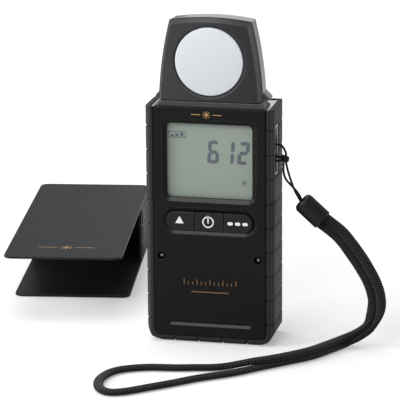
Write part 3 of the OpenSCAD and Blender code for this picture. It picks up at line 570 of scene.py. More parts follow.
@dataclass(frozen=True)
class BraidedTextile(Finish):
    """Round braid: strands that cross over and under, on the tube's own map."""

    strands: int = 5
    stitch: float = 2.2
    relief: float = 0.05
    light: float = 1.5
    lint_size: float = 0.5

    def lay(self, turn: Signal, run: Signal) -> Signal:
        """Gives the height of the uppermost strand from 0 to 1.

        Args:
            turn: Place round the cord, in whole turns.
            run: Place along the cord in millimetres.

        Returns:
            The height.
        """
        round_, along = turn * self.strands, run * (1 / self.stitch)
        return (round_ + along).wave() * (round_ - along).wave()

    def paint(self, graph: Graph) -> None:
        """Lays the strands, the yarn inside each strand and a little lint; the raised strands get a painted
        highlight and the hollows a painted shade.

        Args:
            graph: The graph of the material.
        """
        cover = graph.node("ShaderNodeUVMap", {"uv_map": STRANDS})
        turn = graph.node("ShaderNodeSeparateXYZ", sockets={"Vector": cover}, out="X")
        run = graph.node("ShaderNodeSeparateXYZ", sockets={"Vector": cover}, out="Y")
        rise = self.lay(turn, run)
        yarn = (turn * (5.0 * self.strands) + run * (3.0 / self.stitch)).wave()
        lint = graph.noise(self.lint_size, 4.0).between(0.62, 0.8)
        # Painted highlight on the raised strands, painted shade in the hollows between them.
        body = self.shades(graph, rise, 0.4, self.light)
        graph.surface({
            "Base Color": graph.mix(lint * 0.4, body, shade(self.colour, 3.0)),
            "Roughness": self.roughness + 0.15 * (yarn - 0.5),
            "Specular IOR Level": self.specular,
            "Sheen Weight": 0.12,
            "Sheen Roughness": 0.4,
            "Normal": graph.bump(rise + yarn * 0.3, self.relief),
        })


@dataclass(frozen=True)
class FlatBraid(BraidedTextile):
    """Flat braid: three columns of slanting stitches along each broad side."""

    columns: float = 1.5
    slant: float = 0.75

    def lay(self, turn: Signal, run: Signal) -> Signal:
        """Gives the height of the stitches, which run on aslant from column to column.

        Args:
            turn: Place round the band, in whole turns.
            run: Place along the band in millimetres.

        Returns:
            The height.
        """
        across = turn.cosine()
        stitch = (run * (1 / self.stitch) - across * self.slant).wave().between(0.2, 0.8)
        return (0.4 + 0.6 * (across * self.columns).wave()) * stitch


@dataclass(frozen=True)
class CircuitBoard(Finish):
    """Solder mask over copper tracks and plated holes."""

    track: Colour = (0.03, 0.2, 0.08)
    plating: Colour = tone(190, 160, 90)
    sheen_size: float = 4.0
    relief: float = 0.03

    def paint(self, graph: Graph) -> None:
        """Lays tracks, plated holes and the sheen of the mask.

        Args:
            graph: The graph of the material.
        """
        place = graph.spot()
        upright = graph.node("ShaderNodeMapping", sockets={"Vector": place, "Rotation": (math.pi / 2, 0, 0)})
        tracks = graph.node(
            "ShaderNodeTexBrick",
            {"offset": 0.35, "squash": 1.6, "squash_frequency": 3},
            {"Vector": upright, "Scale": 0.4, "Mortar Size": 0.05, "Mortar Smooth": 0.1},
            out="Fac",
        )
        cells = graph.node("ShaderNodeTexVoronoi", sockets={"Vector": place, "Scale": 0.35}, out="Distance")
        holes = 1.0 - cells.between(0.1, 0.16)
        mask = graph.mix(tracks, shade(self.colour), shade(self.track))
        graph.surface({
            "Base Color": graph.mix(holes, mask, shade(self.plating)),
            "Roughness": self.roughness + 0.1 * (graph.noise(self.sheen_size) - 0.5),
            "Metallic": holes,
            "Normal": graph.bump(tracks + holes, self.relief),
        })


@dataclass(frozen=True)
class ZebraStrip(Finish):
    """Contact strip of thin conducting and insulating layers."""

    pitch: float = 0.4
    carbon: Colour = tone(30, 28, 28)
    grain: float = 0.5
    relief: float = 0.01

    def paint(self, graph: Graph) -> None:
        """Lays the layers across the strip.

        Args:
            graph: The graph of the material.
        """
        layer = (graph.axis("X") * (1 / self.pitch)).wave().between(0.35, 0.65)
        graph.surface({
            "Base Color": graph.mix(layer, shade(self.colour), shade(self.carbon)),
            "Roughness": self.roughness + 0.1 * graph.noise(self.grain),
            "Normal": graph.bump(layer, self.relief),
        })


@dataclass(frozen=True)
class CellSleeve(Finish):
    """Printed sleeve of a battery cell between bare steel ends."""

    ends: Spot = (19.0, 57.0)
    band: float = 44.0
    band_colour: Colour = tone(196, 200, 205)
    steel: Colour = tone(190, 192, 194)
    scuff_size: float = 3.0

    def paint(self, graph: Graph) -> None:
        """Lays a pale band into the sleeve and bares the ends.

        Args:
            graph: The graph of the material.
        """
        low, high = self.ends
        height = graph.axis("Z")
        sleeve = height.between(low, low + 0.2) * (1.0 - height.between(high, high + 0.2))
        band = height.between(self.band, self.band + 0.3)
        scuff = graph.noise(self.scuff_size, 4.0)
        printed = graph.mix(band, shade(self.colour), shade(self.band_colour))
        graph.surface({
            "Base Color": graph.mix(sleeve, shade(self.steel), printed),
            "Metallic": 1.0 - sleeve * 0.7,
            "Roughness": self.roughness + 0.15 * (scuff - 0.5),
        })


class Slot(Enum):
    """Material slots of the record."""

    FACE = "face_plastic"
    CASE = "case_plastic"
    BUMPER = "bumper_rubber"
    DECK = "deck_silver"
    WINDOW = "window_clear"
    LCD = "lcd_glass"
    LCD_FRAME = "frame_white"
    STRIP = "strip_rubber"
    BOARD = "board_green"
    CHIP = "chip_black"
    CONTACT = "contact_steel"
    MAT = "mat_rubber"
    KEY = "key_rubber"
    SCREW = "screw_steel"
    CELL = "cell_steel"
    SPINDLE = "spindle_brass"
    WASHER = "washer_plastic"
    CABLE = "cable_plastic"
    HEAD = "head_plastic"
    DIFFUSER = "diffuser_white"
    FILTER = "filter_glass"
    DIODE = "diode_metal"
    CORD = "cord_black"
    FERRULE = "ferrule_black"
    CAP = "cap_plastic"


BAND_BRAID = FlatBraid("braid_black", tone(19, 19, 20), 0.7, 0.12, stitch=1.2, relief=0.16, light=6.0)
CORD_TWIST = BraidedTextile("cord_twist", tone(20, 20, 22), 0.7, 0.2, strands=2, stitch=1.2, relief=0.03)
COLLAR_GREY = MouldedPlastic(
    "collar_grey", tone(56, 56, 59), 0.42, 0.35, edge=2.2, grain=0.35, relief=0.02, polish=0.3
)
# Its light metal shows only in the painted glint ring; the rest is painted shade.
FACE_SCREW = ShadedGlintScrew("screw_face", tone(160, 161, 164), 0.3)
DISPLAY_INK = Ink("display_ink", tone(8, 36, 64), 0.4, 0.2)
KEY_INK = Ink("key_ink", tone(228, 230, 230), 0.5, 0.3)
GOLD_INK = Ink("gold_ink", tone(196, 160, 112), 0.36, 0.5, metallic=0.8)
DIM_GOLD = Ink("gold_dim", tone(140, 108, 78), 0.42, 0.4, metallic=0.8)
FINISHES: dict[Slot, Finish] = {
    Slot.FACE: FacePlastic(
        "face_black", tone(18, 19, 18), 0.42, 0.13, edge=3.5, grain=0.22, relief=0.006, polish=0.12
    ),
    Slot.CASE: MouldedPlastic("case_black", tone(34, 35, 36), 0.5, 0.25, edge=2.5, grain=0.3, relief=0.02),
    Slot.BUMPER: HighlitCornerRubber(
        "bumper_rubber", tone(41, 41, 43), 0.55, 0.17, edge=2.4, grain=0.4, relief=0.03
    ),
    Slot.DECK: Metal("deck_silver", tone(214, 216, 220), 0.3, drawn=(0.1, 1.0, 1.0)),
    Slot.WINDOW: Pane("window_clear", tone(235, 240, 238), 0.06, 0.5, cover=0.07),
    Slot.LCD: LiquidCrystal("display_green", tone(124, 137, 124), 0.4, 0.3),
    Slot.LCD_FRAME: MouldedPlastic("frame_white", tone(225, 225, 220), 0.5, 0.4, edge=1.05),
    Slot.STRIP: ZebraStrip("contact_strip", tone(205, 140, 130), 0.6),
    Slot.BOARD: CircuitBoard("board_green", tone(20, 90, 50), 0.35),
    Slot.CHIP: MouldedPlastic("chip_black", tone(28, 28, 30), 0.55, 0.3, grain=0.15),
    Slot.CONTACT: Metal("contact_nickel", tone(200, 200, 198), 0.28, drawn=(1.0, 0.2, 1.0)),
    Slot.MAT: MouldedPlastic("mat_rubber", tone(60, 60, 64), 0.7, 0.25, edge=1.3),
    Slot.KEY: MouldedPlastic("key_rubber", tone(28, 28, 30), 0.5, 0.2, edge=2.6, grain=0.25, relief=0.01),
    Slot.SCREW: Metal("screw_blackened", tone(60, 61, 64), 0.32),
    Slot.CELL: CellSleeve("cell_sleeve", tone(40, 70, 120), 0.35),
    Slot.SPINDLE: Metal("spindle_brass", tone(196, 166, 96), 0.3, drawn=(1.0, 1.0, 0.1)),
    Slot.WASHER: MouldedPlastic("washer_white", tone(226, 218, 190), 0.45, 0.4, edge=1.05),
    Slot.CABLE: MouldedPlastic("cable_blue", tone(40, 48, 130), 0.45, 0.4, edge=1.3),
    Slot.HEAD: ShellPlastic("head_grey", tone(48, 48, 51), 0.45, 0.25, edge=1.6, grain=0.35, relief=0.02),
    Slot.DIFFUSER: Opal("diffuser_opal", tone(207, 211, 215), 0.38, 0.3),
    Slot.FILTER: Pane("filter_green", tone(90, 150, 80), 0.1, 0.5, cover=0.7),
    Slot.DIODE: Metal("diode_gold", tone(205, 180, 110), 0.3),
    Slot.CORD: BAND_BRAID,
    Slot.FERRULE: MouldedPlastic(
        "ferrule_black", tone(14, 14, 15), 0.4, 0.3, edge=2.0, grain=0.5, relief=0.003
    ),
    Slot.CAP: MouldedPlastic("cap_black", tone(22, 24, 26), 0.46, 0.24, edge=3.0, grain=0.25, relief=0.008),
}


class Bench:
    """Modelling moves as done by hand, each on one active object.

    Attributes:
        WELD: Points of a new mesh that are this near become one, in metres.
        MERGE: The same for the copy of a CAD node.
        FLAT_ANGLE: Faces of a copy that differ by less become one, in degrees.
        EDGE_ANGLE: Edges of a copy that are sharper get rounded, in degrees.
        SMOOTH_ANGLE: Edges that are sharper stay sharp in the shading, in degrees.
    """

    WELD: float = 1e-7
    MERGE: float = 1e-6
    FLAT_ANGLE: float = 0.5
    EDGE_ANGLE: float = 23.5
    SMOOTH_ANGLE: float = 30.0

    @staticmethod
    def hold(*objects: bpy.types.Object) -> None:
        """Selects these objects alone and makes the first one active.

        Args:
            objects: The objects, the active one first.
        """
        bpy.ops.object.select_all(action="DESELECT")
        for obj in objects:
            obj.select_set(True)
        bpy.context.view_layer.objects.active = objects[0]

    @staticmethod
    @contextmanager
    def editing(obj: bpy.types.Object) -> Iterator[None]:
        """Opens edit mode on one object with all of it selected.

        Args:
            obj: The object.
        """
        Bench.hold(obj)
        bpy.ops.object.mode_set(mode="EDIT")
        bpy.ops.mesh.select_all(action="SELECT")
        yield
        bpy.ops.object.mode_set(mode="OBJECT")

    @staticmethod
    def circle(diameter: float, sides: int) -> bpy.types.Object:
        """Adds a filled circle, or a polygon with few sides, lying at the origin."""
        bpy.ops.mesh.primitive_circle_add(vertices=sides, radius=diameter / 2 * MM, fill_type="NGON")
        return bpy.context.active_object

    @staticmethod
    def pick_faces(obj: bpy.types.Object, test: Callable[[bmesh.types.BMFace], bool]) -> None:
        """Selects the faces that pass a test, in edit mode.

        Args:
            obj: The object in edit mode.
            test: Says which faces to take.
        """
        bpy.ops.mesh.select_mode(type="FACE")
        bpy.ops.mesh.select_all(action="DESELECT")
        mesh = bmesh.from_edit_mesh(obj.data)
        for face in mesh.faces:
            face.select_set(test(face))
        bmesh.update_edit_mesh(obj.data)

    @staticmethod
    def lift(height: float) -> None:
        """Extrudes what is selected upwards, in edit mode."""
        bpy.ops.mesh.extrude_region_move(TRANSFORM_OT_translate={"value": (0, 0, height * MM)})

    @staticmethod
    def close(obj: bpy.types.Object) -> None:
        """Merges doubles and turns all faces outwards.

        Args:
            obj: The object.
        """
        with Bench.editing(obj):
            bpy.ops.mesh.remove_doubles(threshold=Bench.WELD)
            bpy.ops.mesh.normals_make_consistent(inside=False)

    @staticmethod
    def put(obj: bpy.types.Object, at: Point, turn: Point = (0.0, 0.0, 0.0)) -> None:
        """Turns and moves an object and puts its place into its mesh.

        Args:
            obj: The object, at the origin so far.
            at: Where it goes, in millimetres.
            turn: Its turn about X, Y and Z in degrees.
        """
        Bench.hold(obj)
        obj.rotation_euler = [math.radians(angle) for angle in turn]
        obj.location = Vector(at) * MM
        bpy.ops.object.transform_apply(location=True, rotation=True, scale=True)

    @staticmethod
    def apply(obj: bpy.types.Object, kind: str, **settings: Any) -> None:
        """Adds one modifier with these settings and applies it.

        Args:
            obj: The object.
            kind: The modifier's type name.
            settings: The modifier's properties.
        """
        modifier = obj.modifiers.new(kind.lower(), kind)
        for key, value in settings.items():
            setattr(modifier, key, value)
        Bench.hold(obj)
        bpy.ops.object.modifier_apply(modifier=modifier.name)

    @staticmethod
    def smooth(obj: bpy.types.Object, angle: float = SMOOTH_ANGLE) -> None:
        """Shades a piece smooth up to an angle, with normals weighted by face size.

        Args:
            obj: The piece.
            angle: Edges sharper than this stay sharp, in degrees.
        """
        Bench.hold(obj)
        bpy.ops.object.shade_smooth_by_angle(angle=math.radians(angle))
        Bench.apply(obj, "WEIGHTED_NORMAL", keep_sharp=True)

    @staticmethod
    def mark(piece: bpy.types.Object, name: str, value: Callable[[bpy.types.MeshPolygon], float]) -> None:
        """Leaves a mark on each face for the finishes to read."""
        values = [value(face) for face in piece.data.polygons for _ in face.loop_indices]
        piece.data.attributes.new(name, "FLOAT", "CORNER").data.foreach_set("value", values)

    @staticmethod
    def softened(node: str, width: float, segments: int) -> bpy.types.Object:
        """Copies a CAD node and rounds its edges a little.

        Args:
            node: The CAD node, which the copy stands for.
            width: Width of the rounding in millimetres.
            segments: Faces across the rounding.

        Returns:
            The copy, with its rounded edges marked for wear and a painted highlight, and its slopes marked.
        """
        Bench.hold(frame["nodes"][node])
        bpy.ops.object.duplicate(linked=False)
        piece = bpy.context.active_object
        piece.name = f"{node}_dressed"
        piece.parent = None
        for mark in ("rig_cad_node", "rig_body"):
            del piece[mark]
        with Bench.editing(piece):
            bpy.ops.mesh.customdata_custom_splitnormals_clear()
            bpy.ops.mesh.remove_doubles(threshold=Bench.MERGE)
            bpy.ops.mesh.dissolve_limited(angle_limit=math.radians(Bench.FLAT_ANGLE))
        slots = piece.data.materials
        slots.clear()
        slots.append(None)
        slots.append(None)
        Bench.apply(
            piece, "BEVEL", width=width * MM, segments=segments, limit_method="ANGLE",
            angle_limit=math.radians(Bench.EDGE_ANGLE), use_clamp_overlap=False, material=1,
        )
        # The rounded edges get a lighter colour: wear and a painted highlight.
        Bench.mark(piece, WEAR_AND_HIGHLIGHT, lambda face: float(face.material_index == 1))
        Bench.mark(piece, SLOPE, lambda face: max(0.0, face.normal.z))
        for face in piece.data.polygons:
            face.material_index = 0
        slots.pop(index=1)
        Bench.smooth(piece)
        return piece

    @staticmethod
    def turned(name: str, profile: Sequence[Spot], sides: int) -> bpy.types.Object:
        """Turns a piece about the Z axis, ring by ring.

        Args:
            name: Name of the piece.
            profile: Radius and height of each ring in millimetres, from one end to the other.
            sides: Corners of each ring.

        Returns:
            The closed piece at the origin.
        """
        radius, height = profile[0]
        piece = Bench.circle(2 * radius, sides)
        piece.name = name
        with Bench.editing(piece):
            bpy.ops.transform.translate(value=(0, 0, height * MM))
            for ring, level in profile[1:]:
                Bench.lift(level - height)
                scale = ring / radius
                bpy.ops.transform.resize(value=(scale, scale, 1), center_override=(0, 0, level * MM))
                radius, height = ring, level
        Bench.close(piece)
        return piece


def dress(
    piece: bpy.types.Object,
    body: str,
    finish: Finish,
    replaces: Sequence[str] = (),
) -> bpy.types.Object:
    """Gives a piece its finish and fixes it to the frame.

    Args:
        piece: The finished mesh.
        body: The CAD body that carries it.
        finish: How it looks.
        replaces: CAD nodes that it stands for.

    Returns:
        The same piece.
    """
    piece.data.materials.clear()
    piece.data.materials.append(finish.material())
    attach(piece, body)
    if replaces:
        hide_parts(*replaces)
    log.info("%s rides on %s in %s", piece.name, body, finish.name)
    return piece


def slot_of(node: str) -> Slot:
    """Looks up the material slot of a CAD node in the record."""
    row = next(part for part in frame["record"]["subparts"] if part["node"] == node)
    return Slot(row["material_slot"])


def soften_node(node: str, width: float, segments: int = 2, finish: Optional[Finish] = None) -> None:
    """Shows a CAD node as a copy with rounded edges.

    Args:
        node: The CAD node.
        width: Width of the rounding in millimetres.
        segments: Faces across the rounding.
        finish: How it looks; None takes the finish of its slot.
    """
    slot = slot_of(node)
    piece = Bench.softened(node, width, segments)
    dress(piece, frame["nodes"][node]["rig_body"], finish or FINISHES[slot], [node])


@dataclass
class Print:
    """A flat mark: bars, rings and discs drawn on a level sheet, then stood up on the front.

    Attributes:
        thickness: Height of the ink in millimetres.
        core: Diameter of a sun's disc, as a share of its size.
        reach: Distance of a sun's rays from its middle, as a share of its size.
        ray: Length and width of a ray, as shares of its size.
        parts: What has been drawn so far.
    """

    thickness: float = 0.05
    core: float = 0.42
    reach: float = 0.4
    ray: Spot = (0.2, 0.09)
    parts: list[bpy.types.Object] = field(default_factory=list)

    def _keep(self, obj: bpy.types.Object, at: Spot = (0.0, 0.0), turn: float = 0.0) -> "Print":
        """Places one raised part on the sheet.

        Args:
            obj: The part, at the origin so far.
            at: Its middle on the sheet.
            turn: Its turn on the sheet in degrees.

        Returns:
            The same print.
        """
        Bench.close(obj)
        Bench.put(obj, (at[0], at[1], 0.0), (0.0, 0.0, turn))
        self.parts.append(obj)
        return self

    def bar(
        self, size: Spot, at: Spot = (0.0, 0.0), turn: float = 0.0, corner: float = 0.0, steps: int = 1
    ) -> "Print":
        """Adds a bar.

        Args:
            size: Length and width.
            at: Middle of the bar.
            turn: Turn on the sheet in degrees.
            corner: Cut of its corners.
            steps: Faces round each corner; 1 cuts it straight.

        Returns:
            The same print.
        """
        bpy.ops.mesh.primitive_plane_add(size=MM)
        obj = bpy.context.active_object
        with Bench.editing(obj):
            bpy.ops.transform.resize(value=(size[0], size[1], 1), center_override=(0, 0, 0))
            if corner:
                bpy.ops.mesh.bevel(offset=corner * MM, segments=steps, affect="VERTICES")
            Bench.lift(self.thickness)
        return self._keep(obj, at, turn)

    def disc(self, diameter: float, sides: int = 32) -> "Print":
        """Adds a disc, or a polygon with few sides, in the middle.

        Args:
            diameter: Its diameter.
            sides: Its corners.

        Returns:
            The same print.
        """
        obj = Bench.circle(diameter, sides)
        with Bench.editing(obj):
            Bench.lift(self.thickness)
        return self._keep(obj)

    def ring(self, diameter: float, stroke: float, sides: int = 48) -> "Print":
        """Adds a ring in the middle.

        Args:
            diameter: Outer diameter.
            stroke: Width of the line.
            sides: Corners of the ring.

        Returns:
            The same print.
        """
        obj = Bench.circle(diameter, sides)
        with Bench.editing(obj):
            bpy.ops.mesh.inset(thickness=stroke * MM)
            Bench.pick_faces(obj, lambda face: face.calc_center_median().length < Bench.MERGE)
            bpy.ops.mesh.delete(type="FACE")
            bpy.ops.mesh.select_all(action="SELECT")
            Bench.lift(self.thickness)
        return self._keep(obj)

    def sun(self, size: float, rays: int = 8) -> "Print":
        """Adds a small sun in the middle: a disc with short rays round it.

        Args:
            size: Size over the rays.
            rays: How many rays.

        Returns:
            The same print.
        """
        self.disc(size * self.core)
        far, ray = size * self.reach, (size * self.ray[0], size * self.ray[1])
        for i in range(rays):
            angle = math.tau * i / rays
            self.bar(ray, (far * math.cos(angle), far * math.sin(angle)), math.degrees(angle))
        return self

    def emblem(self, size: float, bar: Spot, far: float) -> "Print":
        """Adds a small sun between two bars.

        Args:
            size: Size of the sun.
            bar: Length and width of each bar.
            far: Distance from the sun's middle to the middle of each bar.

        Returns:
            The same print.
        """
        self.sun(size)
        for side in (-1, 1):
            self.bar(bar, (side * far, 0.0))
        return self

    def lie(self, name: str, lean: float = 0.0) -> bpy.types.Object:
        """Joins the parts into one piece that faces up.

        Args:
            name: Name of the piece.
            lean: Slant of the marks to the right, in degrees.

        Returns:
            The piece, with the sheet's middle at the origin.
        """
        Bench.hold(*self.parts)
        if len(self.parts) > 1:
            bpy.ops.object.join()
        piece = bpy.context.active_object
        piece.name = name
        slant = Matrix.Identity(4)
        slant[0][1] = math.tan(math.radians(lean))
        piece.data.transform(slant)
        return piece

    def stand(self, name: str, at: Spot, deep: float, lean: float = 0.0) -> bpy.types.Object:
        """Joins the parts and stands them up facing the front.

        Args:
            name: Name of the piece.
            at: Where the sheet's middle goes across and up, in millimetres.
            deep: Where it goes from front to back.
            lean: Slant of the marks to the right, in degrees.

        Returns:
            The piece with its place in its mesh.
        """
        piece = self.lie(name, lean)
        Bench.put(piece, (at[0], deep, at[1]), (90.0, 0.0, 0.0))
        return piece


@dataclass(frozen=True)
class Softbox:
    """A square light of some watts that faces one point; lengths in millimetres."""

    name: str
    at: Point
    aim: Point
    size: float
    power: float

    def build(self) -> None:
        """Hangs the light up."""
        data = bpy.data.lights.new(self.name, "AREA")
        data.size = self.size * MM
        data.energy = self.power
        light = bpy.data.objects.new(self.name, data)
        bpy.context.scene.collection.objects.link(light)
        light.location = Vector(self.at) * MM
        light.rotation_euler = (Vector(self.aim) - Vector(self.at)).to_track_quat("-Z", "Y").to_euler()


@dataclass
class Studio:
    """Pale floor, soft light and the camera of the photograph."""

    aim: Point = (0.0, 0.0, 75.0)
    azimuth: float = 12.21
    elevation: float = 14.627
    distance: float = 1211.8
    roll: float = -0.329
    lens: float = 236.12
    sensor: float = 36.0
    shift: Spot = (-0.0378, -0.0494)
    sight: float = 50.0
    floor_size: float = 12000.0
    floor_z: float = -0.2
    floor_cloud: float = 400.0
    floor_tones: tuple[Colour, Colour] = (tone(200, 200, 200), tone(206, 206, 206))
    sky: float = 0.4
    glow: float = 0.5
    glow_full: float = 900.0
    lights: tuple[Softbox, ...] = (
        Softbox("top_light", (-300.0, 250.0, 1300.0), (0.0, 0.0, 60.0), 1000.0, 9.0),
        Softbox("back_light", (0.0, 1500.0, 420.0), (0.0, 0.0, 100.0), 800.0, 1.0),
        Softbox("left_light", (-1150.0, -500.0, 700.0), (0.0, 0.0, 70.0), 800.0, 15.0),
        Softbox("right_light", (1000.0, 420.0, 150.0), (0.0, 0.0, 100.0), 320.0, 3.0),
        Softbox("front_light", (-280.0, -1060.0, 930.0), (0.0, 0.0, 70.0), 600.0, 6.5),
    )

    def build(self) -> None:
        """Sets up floor, light and camera."""
        bpy.context.scene.view_settings.view_transform = "Standard"
        self._camera()
        self._floor()
        self._sky()
        for light in self.lights:
            light.build()

    def _camera(self) -> None:
        """Adds the camera at the photograph's viewing angle."""
        turn, rise, roll = (math.radians(a) for a in (self.azimuth, self.elevation, self.roll))
        back = Vector((math.sin(turn) * math.cos(rise), -math.cos(turn) * math.cos(rise), math.sin(rise)))
        level = Vector((math.cos(turn), math.sin(turn), 0.0))
        steep = back.cross(level)
        right = level * math.cos(roll) + steep * math.sin(roll)
        up = steep * math.cos(roll) - level * math.sin(roll)
        data = bpy.data.cameras.new("camera")
        data.lens = self.lens
        data.sensor_width = self.sensor
        data.shift_x, data.shift_y = self.shift
        data.clip_end = self.sight
        camera = bpy.data.objects.new("camera", data)
        bpy.context.scene.collection.objects.link(camera)
        pose = Matrix((right, up, back)).transposed().to_4x4()
        pose.translation = (Vector(self.aim) + self.distance * back) * MM
        camera.matrix_world = pose
        bpy.context.scene.camera = camera

    def _floor(self) -> None:
        """Adds the floor, a sheet just under the object, brighter behind it."""
        bpy.ops.object.select_all(action="DESELECT")
        bpy.ops.mesh.primitive_plane_add(size=self.floor_size * MM)
        floor = bpy.context.active_object
        floor.name = "floor"
        with Bench.editing(floor):
            bpy.ops.mesh.subdivide(number_cuts=3)
        Bench.put(floor, (0.0, 0.0, self.floor_z))
        graph = Graph("floor_finish")
        behind = graph.axis("Y").between(0.0, self.glow_full)
        seen = graph.node("ShaderNodeLightPath", out="Is Camera Ray") * (0.6 + 0.4 * behind)
        cloud = graph.noise(self.floor_cloud)
        graph.surface({
            "Base Color": graph.mix(cloud, *(shade(pale) for pale in self.floor_tones)),
            "Roughness": 0.8,
            "Specular IOR Level": 0.1,
            "Emission Color": graph.mix(seen, (0.0, 0.0, 0.0, 1.0), WHITE),
            "Emission Strength": self.glow,
        })
        floor.data.materials.append(graph.material)

    def _sky(self) -> None:
        """Fills the room with even light."""
        world = bpy.data.worlds.new("room")
        world.use_nodes = True
        sockets = world.node_tree.nodes["Background"].inputs
        sockets["Color"].default_value = WHITE
        sockets["Strength"].default_value = self.sky
        bpy.context.scene.world = world


@dataclass
class Sweep:
    """A cord swept along a smooth route.

    Attributes:
        name: Name of the cord.
        route: Points of the route in millimetres.
        size: Width and thickness of the cord.
        sides: Corners of each ring.
        step: Distance between rings.
        facing: Gives the direction of the width from a heading and a place; None carries it along.
        path: Places of the rings.
    """

    name: str
    route: Sequence[Point]
    size: Spot
    sides: int
    step: float
    facing: Optional[Callable[[Vector, Vector], Vector]] = None
    path: list[Vector] = field(init=False, default_factory=list)

    def __post_init__(self) -> None:
        """Runs a smooth curve through the route's points."""
        route = [Vector(p) for p in self.route]
        ends = [2 * route[0] - route[1], *route, 2 * route[-1] - route[-2]]
        for a, b, c, d in zip(ends, ends[1:], ends[2:], ends[3:]):
            count = max(1, round((c - b).length / self.step))
            for i in range(count):
                t = i / count
                square = (2 * a - 5 * b + 4 * c - d) * t * t
                cube = (3 * b - a - 3 * c + d) * t * t * t
                self.path.append(0.5 * (2 * b + (c - a) * t + square + cube))
        self.path.append(route[-1])

    def length(self) -> float:
        """Gives the cord's length in millimetres."""
        return sum((b - a).length for a, b in zip(self.path, self.path[1:]))

    def points(self) -> list[Point]:
        """Gives the path in metres."""
        return [tuple(p * MM) for p in self.path]

    def build(self, swell: Callable[[float, float], float]) -> bpy.types.Object:
        """Makes the tube with its own map: turns round it, millimetres along it.

        Args:
            swell: Factor of the radius at a turn (0 to 1) and a length in millimetres.

        Returns:
            The closed tube.
        """
        rings, runs = self._rings(swell)
        faces, maps = [], []
        for i in range(len(self.path) - 1):
            for k in range(self.sides):
                near, far = i * self.sides, (i + 1) * self.sides
                beside = (k + 1) % self.sides
                faces.append((near + k, near + beside, far + beside, far + k))
                turn, after = k / self.sides, (k + 1) / self.sides
                maps.extend([(turn, runs[i]), (after, runs[i]), (after, runs[i + 1]), (turn, runs[i + 1])])
        last = len(rings) - self.sides
        faces.append(tuple(range(self.sides - 1, -1, -1)))
        faces.append(tuple(range(last, last + self.sides)))
        maps.extend([(k / self.sides, 0.0) for k in range(2 * self.sides)])
        mesh = bpy.data.meshes.new(self.name)
        mesh.from_pydata([p * MM for p in rings], [], faces)
        layer = mesh.uv_layers.new(name=STRANDS)
        for corner, spot in zip(layer.data, maps):
            corner.uv = spot
        piece = bpy.data.objects.new(self.name, mesh)
        bpy.context.scene.collection.objects.link(piece)
        Bench.hold(piece)
        bpy.ops.object.shade_smooth()
        return piece

    def _rings(self, swell: Callable[[float, float], float]) -> tuple[list[Vector], list[float]]:
        """Lays a ring of points across the path at each of its points.

        Args:
            swell: Factor of the radius at a turn (0 to 1) and a length in millimetres.

        Returns:
            All points, ring after ring, and the length at each ring.
        """
        rings, runs, run = [], [], 0.0
        count = len(self.path)
        side: Optional[Vector] = None
        for i, here in enumerate(self.path):
            heading = (self.path[min(i + 1, count - 1)] - self.path[max(i - 1, 0)]).normalized()
            if self.facing:
                side = self.facing(heading, here)
            elif side is None:
                side = heading.orthogonal()
            side = (side - side.dot(heading) * heading).normalized()
            other = heading.cross(side)
            run += (here - self.path[max(i - 1, 0)]).length
            runs.append(run)
            for k in range(self.sides):
                angle = math.tau * k / self.sides
                wide, thick = self.size[0] / 2 * math.cos(angle), self.size[1] / 2 * math.sin(angle)
                rings.append(here + swell(k / self.sides, run) * (wide * side + thick * other))
        return rings, runs


